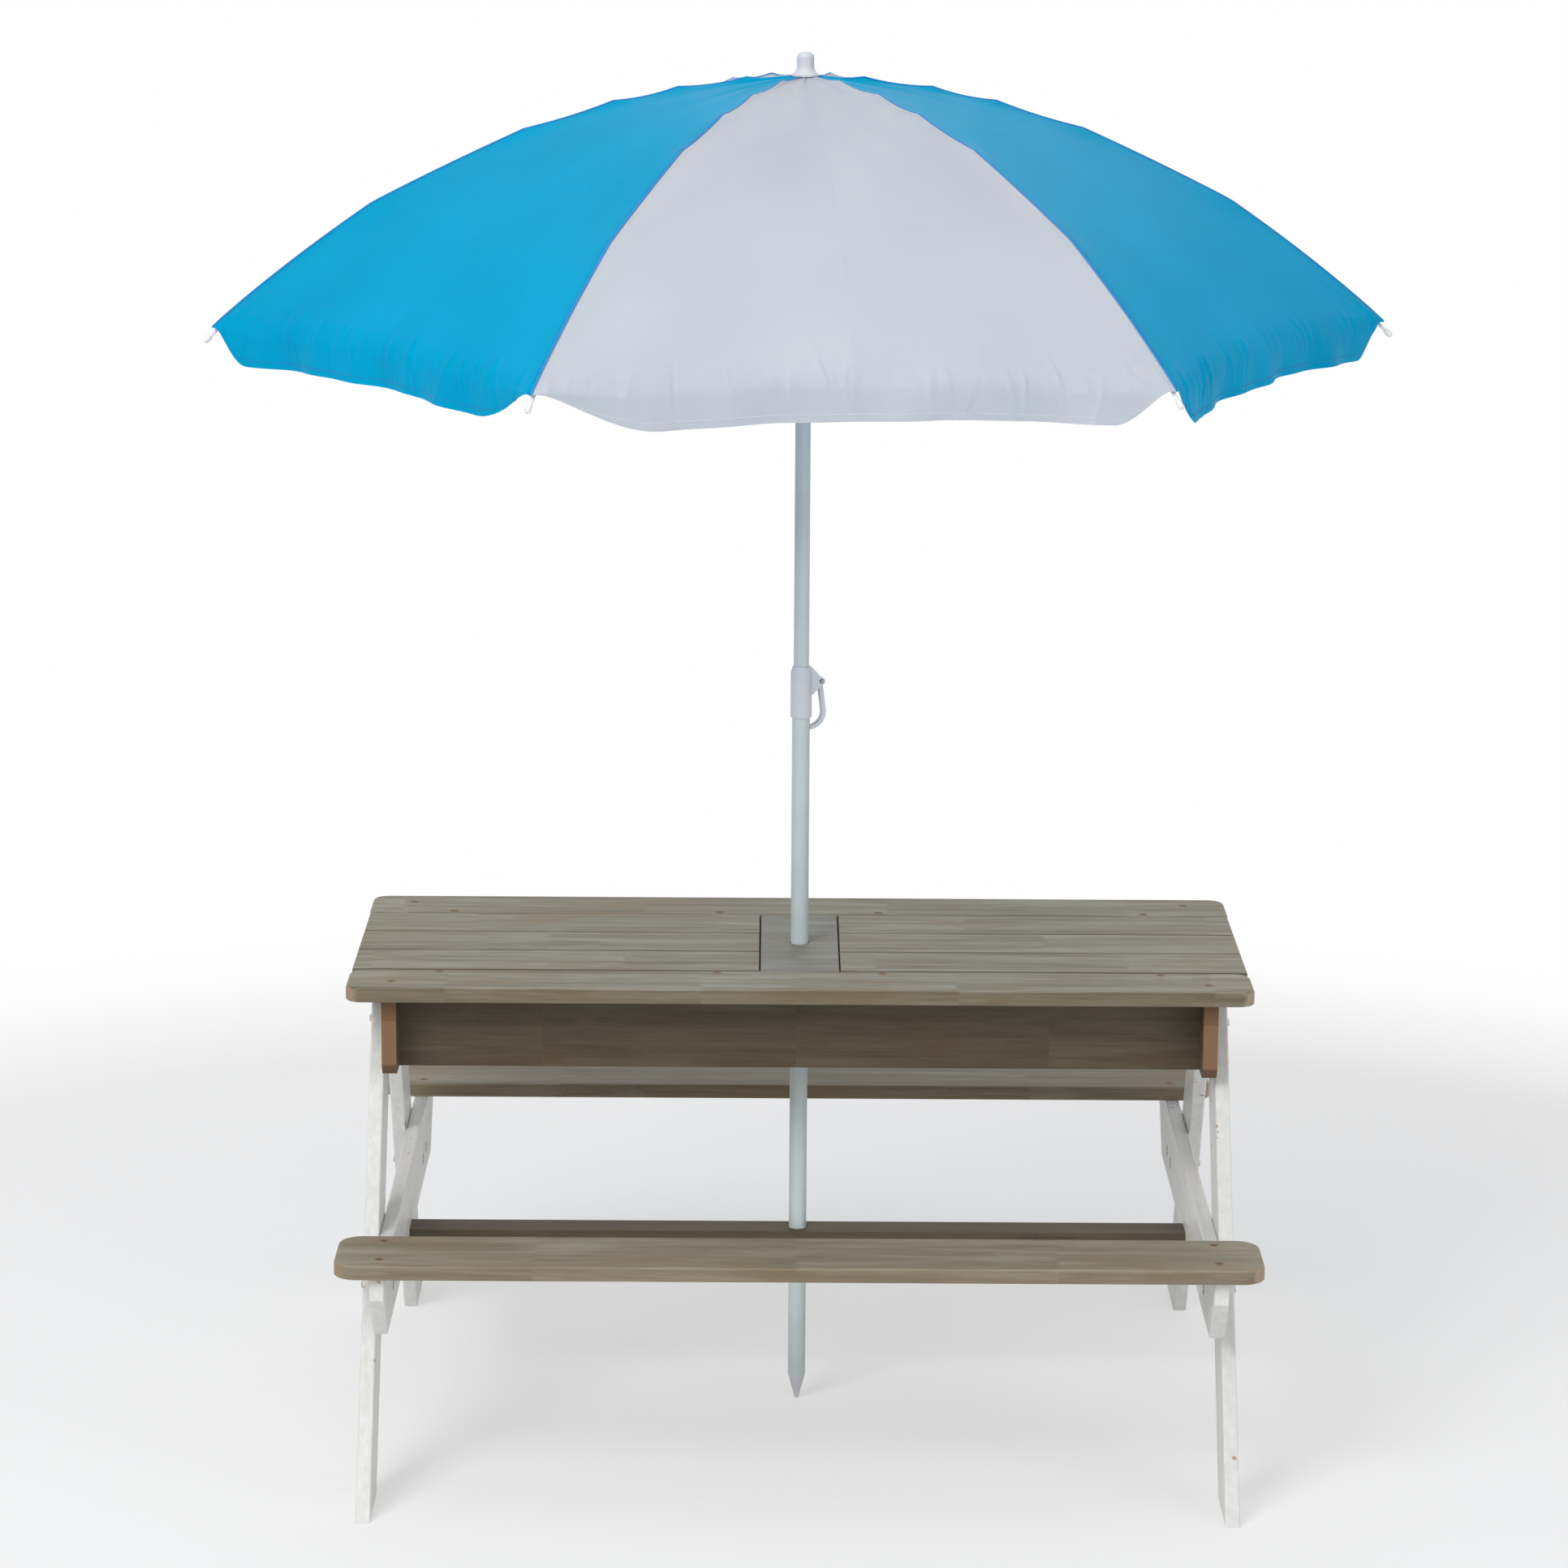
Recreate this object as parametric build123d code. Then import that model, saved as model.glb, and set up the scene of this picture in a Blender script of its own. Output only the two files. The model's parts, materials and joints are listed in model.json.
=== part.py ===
from build123d import *
import os
from math import acos, atan2, cos, degrees, hypot, pi, sin, sqrt, tan

# Low picnic table for children, with a sandbox under two lift-out lids and a small parasol.
# Millimetres, +Z up. The origin is on the ground under the middle of the table.
# X runs along the benches and -Y is the front.

# Tabletop: five lines of boards, the outer two are full planks
table_length = 923.0
table_height = 500.8
board_width = 81.3
board_thickness = 15.0
board_gap = 1.0
plank_corner_radius = 17.0
plank_edge_radius = 3.5
board_edge_bevel = 0.8

# Centre panel with the hole for the pole, and the lids beside it
panel_width = 81.0
lid_gap = 1.5
lid_end_setback = 1.5
lid_batten_width = 40.0
lid_batten_thickness = 15.0
lid_batten_room = 3.0

# Top beams and the boards of the sandbox
beam_thickness = 15.0
beam_face = 426.2
top_beam_height = 83.0
top_beam_length = 365.0
top_beam_bevel = 10.0
box_board_setback = 133.0
box_board_thickness = 15.0
divider_thickness = 15.0
floor_thickness = 6.0
floor_batten_height = 12.0
floor_batten_width = 15.0
floor_room = 1.0
cleat_width = 15.0

# Legs: sloped boards on the outer faces of the beams
leg_thickness = 15.0
leg_width = 74.0
leg_spread = 395.3
leg_top_gap = 26.2
painted_edge_radius = 2.0

# Bench beams, benches and the rail that holds the pole low down
bench_beam_height = 75.0
bench_beam_length = 760.0
bench_beam_bevel = 50.0
bench_width = 103.6
bench_reach = 391.4
bench_height = 265.7
bench_corner_radius = 24.0
rail_width = 38.0
rail_top = 190.0

# Screws and bolts
screw_head_radius = 3.85
screw_shank_radius = 1.75
screw_head_height = 2.4
screw_point = 4.0
top_screw_length = 35.0
lid_screw_length = 25.0
joint_screw_length = 40.0
fastener_room = 0.1
beam_screw_shift = 2.5
plank_screw_reach = 175.0
box_screw_places = (85.0, 370.0)
bench_screw_insets = (18.0, 23.4)
joint_screw_inset = 20.0
rail_screw_inset = 9.0
bolt_radius = 2.5
bolt_head_radius = 5.5
bolt_head_height = 2.6
bolt_crown_radius = 3.0
bolt_spacing = 48.0
bench_bolt_height = 203.0
top_bolt_height = 444.0
nut_flats = 8.0
nut_height = 4.0
nut_pocket_radius = 5.2
nut_pocket_depth = 5.0

# Parasol pole: a lower tube on a pointed foot, and an upper tube that slides in it
pole_radius = 9.25
pole_wall = 0.9
pole_foot = 26.7
panel_hole_room = 1.1
rail_hole_room = 0.4
mast_radius = 8.0
mast_wall = 0.8
mast_overlap = 210.0
mast_rise = 13.0
spike_tip_radius = 2.0
spike_stem = 32.0

# Clamp: a sleeve with an ear and a curved lever on a rivet
clamp_azimuth = 25.0
sleeve_radius = 11.0
sleeve_foot = 742.7
sleeve_length = 47.4
pole_in_sleeve = 27.3
sleeve_neck = 6.0
sleeve_neck_radius = 8.9
slide_room = 0.3
ear_radius = 4.2
ear_thickness = 3.0
ear_rise = 23.8
lever_pivot_radius = 20.5
lever_pivot_rise = 36.8
lever_drop = 48.5
lever_belly = 4.3
lever_shape_shares = ((0.56, 0.3), (1.0, 0.6), (0.45, 0.86))
lever_thickness = 4.1
lever_width = 6.0
rivet_radius = 1.75
rivet_head_radius = 2.6
rivet_head_height = 1.4

# Canopy: six cloth panels over six bent ribs
rib_count = 6
first_rib_azimuth = 5.0
canopy_top = 1405.0
canopy_radius = 603.0
canopy_drop = 255.0
canopy_rise = 61.0
canopy_hole_radius = 11.0
cloth_thickness = 0.8
cloth_sag = 5.0
seam_room = 0.3
valance_drop = 46.0
valance_hem = 1.0
valance_notch = 5.0
valance_round = 40.0
valance_wave = 3.5
valance_waves = 3
gore_across_shares = (0.05, 0.12, 0.2, 0.3, 0.4, 0.5, 0.6, 0.7, 0.8, 0.88, 0.95)

# Ribs, struts, crown and runner
rib_radius = 1.8
rib_depth = 3.55
rib_eye_radius = 2.6
rib_eye_thickness = 2.4
rib_eye_reach = 11.0
rib_cap_radius = 3.0
rib_cap_length = 9.0
rib_cap_bore = 5.0
crown_radius = 17.5
crown_height = 14.0
crown_foot_drop = 17.0
crown_pivot_radius = 13.0
crown_pivot_drop = 11.0
crown_web_radius = 9.9
hinge_pin_radius = 0.8
hinge_pin_grip = 2.0
pin_room = 0.1
eye_room = 0.3
strut_radius = 1.5
strut_joint_radius = 215.0
strut_joint_depth = 3.0
strut_eye_radius = 2.4
strut_eye_thickness = 1.8
strut_eye_reach = 7.0
strut_offset = 3.8
strut_rivet_radius = 0.9
strut_rivet_head_radius = 1.8
strut_rivet_head_height = 0.8
runner_radius = 12.0
runner_flange_radius = 18.5
runner_pivot_radius = 15.0
runner_pivot_height = 1225.0
runner_flange_above = 3.0
runner_flange_below = 5.0
runner_length = 34.0
runner_web_radius = 12.2
runner_grip_radius = 14.5
runner_grip_height = 4.0

# Finial over the canopy
finial_rise = 24.5
finial_radius = 8.8
finial_skirt_radius = 14.5
finial_skirt_height = 5.0
finial_flare = 5.0
finial_crown = 5.0
finial_wall_room = 0.1
cloth_room = 0.3

overrun = 5.0

# Derived places
deck = table_height - board_thickness
board_pitch = board_width + board_gap
panel_depth = 3 * board_width + 2 * board_gap
beam_inner = beam_face - beam_thickness
beam_middle = beam_face - beam_thickness / 2
leg_face = beam_face + leg_thickness
divider_middle = (panel_width + lid_gap) / 2
divider_inner = divider_middle - divider_thickness / 2
divider_outer = divider_middle + divider_thickness / 2
box_inner = box_board_setback - box_board_thickness / 2
box_foot = deck - top_beam_height
bay_middle = (divider_outer + beam_inner) / 2
bay_length = beam_inner - divider_outer
lid_inner = panel_width / 2 + lid_gap
lid_outer = table_length / 2 - lid_end_setback
bench_deck = bench_height - board_thickness
bench_beam_foot = bench_deck - bench_beam_height
bench_middle = bench_reach - bench_width / 2
leg_run = leg_spread - leg_top_gap / 2
leg_slope = acos(leg_width / hypot(leg_run, deck)) - atan2(deck, leg_run)
leg_level_width = leg_width / cos(leg_slope)
pole_top = sleeve_foot + pole_in_sleeve
sleeve_top = sleeve_foot + sleeve_length
ear_foot = sleeve_foot + ear_rise
lever_pivot_height = sleeve_foot + lever_pivot_rise
mast_foot = pole_top - mast_overlap
mast_top = canopy_top + mast_rise
crown_foot = canopy_top - crown_foot_drop
crown_pivot_height = canopy_top - crown_pivot_drop
finial_top = canopy_top + finial_rise


def board(length, width, thickness, corner=0.0, round_edge=0.0, bevel=0.0):
    """A flat board centred in plan, with its underside at Z = 0."""
    outline = RectangleRounded(length, width, corner) if corner else Rectangle(length, width)
    solid = extrude(outline, thickness)
    top = solid.faces().sort_by(Axis.Z)[-1]
    if round_edge:
        solid = fillet(top.edges(), round_edge)
    if bevel:
        solid = chamfer(solid.faces().sort_by(Axis.Z)[0].edges(), bevel)
        if not round_edge:
            solid = chamfer(solid.faces().sort_by(Axis.Z)[-1].edges(), bevel)
    return solid


def upright(points, thickness, edge_radius=0.0):
    """A board that stands across the table: points are (Y, Z), it is centred on X = 0."""
    outline = make_face(Polyline(*[(0, y, z) for y, z in points], close=True))
    solid = extrude(outline, thickness / 2, both=True, dir=(1, 0, 0))
    if edge_radius:
        faces = solid.faces().sort_by(Axis.X)
        solid = fillet(faces[0].edges() + faces[-1].edges(), edge_radius)
    return solid


def wood_screw(length, room=0.0):
    """A countersunk screw with its head at Z = 0 and its point down, or the hole for it."""
    profile = Polyline(
        (0, 0),
        (screw_head_radius + room, 0),
        (screw_shank_radius + room, -screw_head_height),
        (screw_shank_radius + room, -length + screw_point),
        (0, -length - room),
        close=True,
    )
    return revolve(make_face(Plane.XZ * profile), Axis.Z)


def screwed(solid, places, length):
    """The solid with a hole for a screw at each place."""
    return solid - [place * wood_screw(length, fastener_room) for place in places]


def gather(solids):
    """Loose solids as one group."""
    return Compound(children=list(solids))


def save(name, shape):
    export_step(shape, f"parts/{name}.step")


# Places of the screws: head at the place, point along its local -Z
beam_screw_x = beam_middle - beam_screw_shift
plank_screws = {
    row: [Pos(side * beam_screw_x, row * plank_screw_reach, table_height) for side in (-1, 1)]
    + [
        Pos(side * x, row * box_board_setback, table_height)
        for side in (-1, 1)
        for x in box_screw_places
    ]
    for row in (-1, 1)
}
bench_screws = {
    row: [
        Pos(side * beam_screw_x, row * y, bench_height)
        for side in (-1, 1)
        for y in (
            bench_reach - bench_width + bench_screw_insets[0],
            bench_reach - bench_screw_insets[1],
        )
    ]
    for row in (-1, 1)
}
joint_screws = {
    side: [
        Pos(side * beam_face, row * box_board_setback, z) * Rot(0, side * 90, 0)
        for row in (-1, 1)
        for z in (box_foot + joint_screw_inset, deck - joint_screw_inset)
    ]
    for side in (-1, 1)
}
rail_screws = {
    side: [
        Pos(side * beam_face, row * rail_screw_inset, rail_top - board_thickness / 2)
        * Rot(0, side * 90, 0)
        for row in (-1, 1)
    ]
    for side in (-1, 1)
}
lid_batten_middles = (
    divider_outer + lid_batten_room + lid_batten_width / 2,
    beam_inner - lid_batten_room - lid_batten_width / 2,
)
lid_screws = {
    side: [
        Pos(side * x, row * board_pitch + end * board_width / 4, deck - lid_batten_thickness)
        * Rot(180, 0, 0)
        for x in lid_batten_middles
        for row in (-1, 0, 1)
        for end in (-1, 1)
    ]
    for side in (-1, 1)
}
cleat_screws = [
    Pos(side * (divider_inner - cleat_width / 2), row * board_pitch, deck - cleat_width)
    * Rot(180, 0, 0)
    for side in (-1, 1)
    for row in (-1, 1)
]


def leg_middle(z):
    """How far out the middle of a leg is at height z."""
    return leg_top_gap / 2 + leg_level_width / 2 + (deck - z) * tan(leg_slope)


def bolt_places(side, rows, height):
    """Two bolts side by side through each leg, head on the leg's outer face."""
    return [
        Pos(side * leg_face, row * (leg_middle(height) + end * bolt_spacing / 2), height)
        * Rot(0, side * 90, 0)
        for row in rows
        for end in (-1, 1)
    ]


def bolt_hole():
    """The room that a bolt and its nut take, along local -Z from the leg's face."""
    depth = leg_thickness + beam_thickness
    shank = extrude(Circle(bolt_radius + fastener_room), -depth - overrun)
    pocket = Pos(0, 0, -depth + nut_pocket_depth) * extrude(
        Circle(nut_pocket_radius), -nut_pocket_depth - overrun
    )
    return shank + pocket


def leg_bolt():
    """A bolt with a low domed head, and its nut sunk in the beam."""
    depth = leg_thickness + beam_thickness
    head = Polyline(
        (0, -depth),
        (bolt_radius, -depth),
        (bolt_radius, 0),
        (bolt_head_radius, 0),
        (bolt_crown_radius, bolt_head_height),
        (0, bolt_head_height),
        close=True,
    )
    bolt = revolve(make_face(Plane.XZ * head), Axis.Z)
    outline = RegularPolygon(nut_flats / 2, 6, major_radius=False)
    outline -= Circle(bolt_radius + fastener_room)
    nut = Pos(0, 0, -depth + nut_pocket_depth) * extrude(outline, -nut_height)
    return [bolt, nut]


def bolted(solid, places):
    """The solid with a hole for a bolt at each place."""
    return solid - [place * bolt_hole() for place in places]


# Tabletop planks and the centre panel
def top_plank(row):
    plank = board(
        table_length, board_width, board_thickness, plank_corner_radius, plank_edge_radius,
        board_edge_bevel,
    )
    return screwed(Pos(0, row * 2 * board_pitch, deck) * plank, plank_screws[row], top_screw_length)


def centre_panel():
    panel = board(panel_width, panel_depth, board_thickness, bevel=board_edge_bevel)
    panel -= extrude(Circle(pole_radius + panel_hole_room), board_thickness)
    return screwed(Pos(0, 0, deck) * panel, cleat_screws, lid_screw_length)


# Lids: three slats held by two battens from below
def lid_slats(side):
    slat = board(lid_outer - lid_inner, board_width, board_thickness, bevel=board_edge_bevel)
    middle = side * (lid_inner + lid_outer) / 2
    slats = []
    for row in (-1, 0, 1):
        placed = Pos(middle, row * board_pitch, deck) * slat
        near = lid_screws[side]
        slats.append(screwed(placed, near, lid_screw_length))
    return gather(slats)


def lid_battens(side):
    batten = board(
        lid_batten_width, 2 * (box_inner - lid_batten_room), lid_batten_thickness,
        bevel=board_edge_bevel,
    )
    foot = deck - lid_batten_thickness
    battens = [Pos(side * x, 0, foot) * batten for x in lid_batten_middles]
    return gather([screwed(one, lid_screws[side], lid_screw_length) for one in battens])


# Frame under the top
def top_beam(side):
    half = top_beam_length / 2
    points = [
        (-half, deck),
        (half, deck),
        (half, box_foot + top_beam_bevel),
        (half - top_beam_bevel, box_foot),
        (-half + top_beam_bevel, box_foot),
        (-half, box_foot + top_beam_bevel),
    ]
    beam = Pos(side * beam_middle, 0, 0) * upright(points, beam_thickness)
    beam = screwed(beam, plank_screws[-1] + plank_screws[1], top_screw_length)
    beam = screwed(beam, joint_screws[side], joint_screw_length)
    return bolted(beam, bolt_places(side, (-1, 1), top_bolt_height))


def box_board(row):
    length = 2 * beam_inner
    plank = extrude(Rectangle(length, box_board_thickness), top_beam_height)
    plank = Pos(0, row * box_board_setback, box_foot) * plank
    plank = screwed(plank, plank_screws[row], top_screw_length)
    return screwed(plank, joint_screws[-1] + joint_screws[1], joint_screw_length)


def divider(side):
    wall = extrude(Rectangle(divider_thickness, 2 * box_inner), top_beam_height)
    return Pos(side * divider_middle, 0, box_foot) * wall


def floor_panel(side):
    panel = Rectangle(bay_length - 2 * floor_room, 2 * (box_inner - floor_room))
    foot = box_foot + floor_batten_height
    return Pos(side * bay_middle, 0, foot) * extrude(panel, floor_thickness)


def floor_battens():
    strip = extrude(Rectangle(bay_length - 2 * floor_room, floor_batten_width), floor_batten_height)
    away = box_inner - floor_batten_width / 2
    return gather(
        Pos(side * bay_middle, row * away, box_foot) * strip for side in (-1, 1) for row in (-1, 1)
    )


def panel_cleats():
    strip = extrude(Rectangle(cleat_width, 2 * (box_inner - floor_room)), cleat_width)
    away = divider_inner - cleat_width / 2
    cleats = [Pos(side * away, 0, deck - cleat_width) * strip for side in (-1, 1)]
    return gather(screwed(one, cleat_screws, lid_screw_length) for one in cleats)


# Legs, bench beams, benches and the rail
def leg(side, row):
    top_inner = leg_top_gap / 2
    foot_outer = leg_spread
    points = [
        (row * top_inner, deck),
        (row * (top_inner + leg_level_width), deck),
        (row * foot_outer, 0),
        (row * (foot_outer - leg_level_width), 0),
    ]
    middle = side * (beam_face + leg_thickness / 2)
    solid = Pos(middle, 0, 0) * upright(points, leg_thickness, painted_edge_radius)
    places = bolt_places(side, (row,), top_bolt_height) + bolt_places(side, (row,), bench_bolt_height)
    return bolted(solid, places)


def bench_beam(side):
    half = bench_beam_length / 2
    shoulder = bench_beam_foot + bench_beam_bevel
    points = [
        (-half, bench_deck),
        (half, bench_deck),
        (half, shoulder),
        (half - bench_beam_bevel, bench_beam_foot),
        (-half + bench_beam_bevel, bench_beam_foot),
        (-half, shoulder),
    ]
    beam = Pos(side * beam_middle, 0, 0) * upright(points, beam_thickness, painted_edge_radius)
    beam = screwed(beam, bench_screws[-1] + bench_screws[1], top_screw_length)
    beam = screwed(beam, rail_screws[side], joint_screw_length)
    return bolted(beam, bolt_places(side, (-1, 1), bench_bolt_height))


def bench(row):
    plank = board(
        table_length, bench_width, board_thickness, bench_corner_radius, plank_edge_radius,
        board_edge_bevel,
    )
    return screwed(Pos(0, row * bench_middle, bench_deck) * plank, bench_screws[row], top_screw_length)


def pole_rail():
    rail = extrude(Rectangle(2 * beam_inner, rail_width), board_thickness)
    rail -= extrude(Circle(pole_radius + rail_hole_room), board_thickness)
    rail = Pos(0, 0, rail_top - board_thickness) * rail
    return screwed(rail, rail_screws[-1] + rail_screws[1], joint_screw_length)


def wood_screws():
    top = plank_screws[-1] + plank_screws[1] + bench_screws[-1] + bench_screws[1]
    joints = joint_screws[-1] + joint_screws[1] + rail_screws[-1] + rail_screws[1]
    long_ones = [place * wood_screw(top_screw_length) for place in top]
    joint_ones = [place * wood_screw(joint_screw_length) for place in joints]
    short_ones = [place * wood_screw(lid_screw_length) for place in cleat_screws]
    return gather(long_ones + joint_ones + short_ones)


def leg_bolts():
    places = [
        place
        for side in (-1, 1)
        for height in (top_bolt_height, bench_bolt_height)
        for place in bolt_places(side, (-1, 1), height)
    ]
    return gather(place * piece for place in places for piece in leg_bolt())


# Parasol pole
def tube(outer, wall, foot, top):
    ring = Circle(outer) - Circle(outer - wall)
    return Pos(0, 0, foot) * extrude(ring, top - foot)


def turned(points):
    """A solid of revolution about Z from (radius, Z) points."""
    return revolve(make_face(Plane.XZ * Polyline(*points, close=True)), Axis.Z)


def pole_spike():
    stem_radius = pole_radius - pole_wall - fastener_room
    return turned([
        (0, 0),
        (spike_tip_radius, 0),
        (pole_radius, pole_foot),
        (stem_radius, pole_foot),
        (stem_radius, pole_foot + spike_stem),
        (0, pole_foot + spike_stem),
    ])


# Clamp, drawn in its own plane: X is the way out from the pole
def clamp_place():
    return Rot(0, 0, clamp_azimuth)


def clamp_bore():
    lower = Pos(0, 0, sleeve_foot) * extrude(
        Circle(pole_radius + fastener_room), pole_top + fastener_room - sleeve_foot
    )
    upper = Pos(0, 0, sleeve_foot) * extrude(
        Circle(mast_radius + slide_room), sleeve_top + sleeve_neck + overrun - sleeve_foot
    )
    return lower + upper


def clamp_sleeve():
    sleeve = turned([
        (0, sleeve_foot),
        (sleeve_radius, sleeve_foot),
        (sleeve_radius, sleeve_top),
        (sleeve_neck_radius, sleeve_top + sleeve_neck),
        (0, sleeve_top + sleeve_neck),
    ])
    outline = Polygon(
        (0, ear_foot),
        (0, sleeve_top + sleeve_neck),
        (sleeve_neck_radius, sleeve_top + sleeve_neck),
        (lever_pivot_radius, lever_pivot_height + ear_radius),
        (lever_pivot_radius, lever_pivot_height - ear_radius),
        (sleeve_radius, ear_foot),
        align=None,
    )
    outline += Pos(lever_pivot_radius, lever_pivot_height) * Circle(ear_radius)
    slot_half = lever_width / 2 + eye_room
    ear = extrude(Plane.XZ * outline, slot_half + ear_thickness, both=True)
    slot_start = lever_pivot_radius - ear_radius - eye_room
    slot_length = lever_pivot_radius + ear_radius - slot_start + overrun
    slot = Pos(slot_start + slot_length / 2, 0, lever_pivot_height) * Box(
        slot_length, 2 * slot_half, 4 * ear_radius
    )
    solid = sleeve + (ear - slot) - clamp_bore() - rivet_bore(fastener_room)
    return clamp_place() * solid


def rivet_bore(room):
    """The rivet's shank, or the hole for it, through both cheeks of the ear."""
    half = lever_width / 2 + eye_room + ear_thickness
    shank = Plane.XZ * (Pos(lever_pivot_radius, lever_pivot_height) * Circle(rivet_radius + room))
    return extrude(shank, half, both=True)


def clamp_rivet():
    half = lever_width / 2 + eye_room + ear_thickness
    on_base = (Align.CENTER, Align.CENTER, Align.MIN)
    head = Cone(rivet_head_radius, rivet_radius, rivet_head_height, align=on_base)
    rivet = rivet_bore(0.0)
    for turn, end in ((90, -1), (-90, 1)):
        rivet += Pos(lever_pivot_radius, end * half, lever_pivot_height) * Rot(turn, 0, 0) * head
    return clamp_place() * rivet


def clamp_lever():
    start = (lever_pivot_radius, lever_pivot_height)
    bends = [
        (start[0] + out * lever_belly, start[1] - down * lever_drop)
        for out, down in lever_shape_shares
    ]
    tail = (pole_radius, start[1] - lever_drop)
    path = ThreePointArc(start, bends[0], bends[1]) + ThreePointArc(bends[1], bends[2], tail)
    outline = trace(path, lever_thickness) + Pos(*start) * Circle(ear_radius)
    lever = extrude(Plane.XZ * outline, lever_width / 2, both=True)
    pole_clear = Pos(0, 0, sleeve_foot - lever_drop) * extrude(
        Circle(pole_radius + slide_room), 2 * lever_drop
    )
    return clamp_place() * (lever - pole_clear - rivet_bore(pin_room))


# Canopy shape: each rib follows one arc from the top to the rim
chord = hypot(canopy_radius, canopy_drop)
arc_radius = chord**2 / (8 * canopy_rise) + canopy_rise / 2
arc_sink = (arc_radius - canopy_rise) / chord
arc_centre_r = canopy_radius / 2 - canopy_drop * arc_sink
arc_centre_z = canopy_top - canopy_drop / 2 - canopy_radius * arc_sink
gore_angle = 2 * pi / rib_count


def arc_point(r, depth=0.0):
    """The point (r, z) at radius r on the canopy's arc, or on an arc that lies deeper."""
    return (r, arc_centre_z + sqrt((arc_radius - depth) ** 2 - (r - arc_centre_r) ** 2))


def rib_azimuth(k):
    return first_rib_azimuth + (k - 1) * 360 / rib_count


def gore_place(r, z, across):
    """The place in the gore, at one share of the way across, of a point given along the ribs."""
    bisector = gore_angle / 2
    room = seam_room * (1 - 2 * across)
    x = r * cos(bisector)
    y = r * sin(bisector) * (2 * across - 1)
    return (x - room * sin(bisector), y + room * cos(bisector), z)


def hem_drop(across):
    """How far the valance hangs: notched beside the ribs, with rounded corners."""
    span = 2 * canopy_radius * sin(gore_angle / 2)
    from_notch = min(across, 1 - across) * span - 2 * valance_notch
    if from_notch < 0:
        return valance_hem
    corner = min(1.0, from_notch / valance_round)
    return valance_hem + (valance_drop - valance_hem) * sqrt(corner * (2 - corner))


def gore_section(across):
    """A closed outline through the cloth at one share of the way from rib to rib."""
    sag = cloth_sag * 4 * across * (1 - across)
    drop = hem_drop(across)
    wave = valance_wave * sin(2 * pi * valance_waves * across) * drop / valance_drop
    outer = []
    inner = []
    for share in (0.0, 0.5, 1.0):
        r = canopy_hole_radius + share * (canopy_radius - canopy_hole_radius)
        z = arc_point(r)[1] - sag * share
        lean_r = (r - arc_centre_r) / arc_radius * cloth_thickness
        lean_z = (z - arc_centre_z) / arc_radius * cloth_thickness
        outer.append(gore_place(r, z, across))
        inner.append(gore_place(r - lean_r, z - lean_z, across))
    hem_outer = gore_place(r + wave, z - drop, across)
    hem_inner = gore_place(r + wave - cloth_thickness, z - drop, across)
    return make_face(
        ThreePointArc(*outer)
        + Polyline(outer[2], hem_outer, hem_inner, inner[2])
        + ThreePointArc(*inner[::-1])
        + Line(inner[0], outer[0])
    )


def canopy_panel(k):
    """One gore from rib k to the next, with its hanging valance."""
    edge_share = 2 * valance_notch / (canopy_radius * gore_angle)
    shares = (0.0, edge_share) + gore_across_shares + (1 - edge_share, 1.0)
    gore = loft([gore_section(across) for across in shares], ruled=True)
    return Rot(0, 0, rib_azimuth(k) + degrees(gore_angle / 2)) * gore


# Ribs and struts, drawn in the plane of one rib and turned to their azimuth
def rib(k):
    start = arc_point(crown_pivot_radius + rib_eye_reach - rib_depth, rib_depth)
    middle = arc_point(canopy_radius / 2, rib_depth)
    end = arc_point(canopy_radius + rib_cap_bore, rib_depth)
    path = Plane.XZ * ThreePointArc(start, middle, end)
    rod = sweep(Plane(path @ 0, z_dir=path % 0) * Circle(rib_radius), path)
    eye_end = arc_point(crown_pivot_radius + rib_eye_reach, rib_depth)
    plate = link_plate((crown_pivot_radius, crown_pivot_height), eye_end, rib_eye_radius)
    blade = extrude(Plane.XZ * plate, rib_eye_thickness / 2, both=True)
    pin = Plane.XZ * (Pos(crown_pivot_radius, crown_pivot_height) * Circle(hinge_pin_radius + pin_room))
    blade -= extrude(pin, rib_eye_thickness, both=True)
    cap = rib_cap(path)
    turn = Rot(0, 0, rib_azimuth(k))
    return gather([turn * (rod + blade), turn * cap])


def link_plate(start, end, radius):
    """A flat link with round ends between two points."""
    length = hypot(end[0] - start[0], end[1] - start[1])
    turn = degrees(atan2(end[1] - start[1], end[0] - start[0]))
    middle = ((start[0] + end[0]) / 2, (start[1] + end[1]) / 2)
    return Pos(*middle) * Rot(0, 0, turn) * SlotCenterToCenter(length, 2 * radius)


def rib_cap(path):
    """The plastic cap on the end of a rib, with a blind bore for it."""
    end = Plane(path @ 1, z_dir=path % 1)
    bore = rib_radius + fastener_room
    wall = rib_cap_length - rib_cap_bore
    profile = Polyline(
        (0, fastener_room),
        (bore, fastener_room),
        (bore, cloth_room - rib_cap_bore),
        (rib_cap_radius, cloth_room - rib_cap_bore),
        (rib_cap_radius, wall - rib_cap_radius / 2),
        (rib_cap_radius / 2, wall),
        (0, wall),
        close=True,
    )
    return end.location * revolve(make_face(Plane.XZ * profile), Axis.Z)


def strut_joint():
    r, z = arc_point(strut_joint_radius, rib_depth)
    return (r, z - strut_joint_depth)


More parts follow.
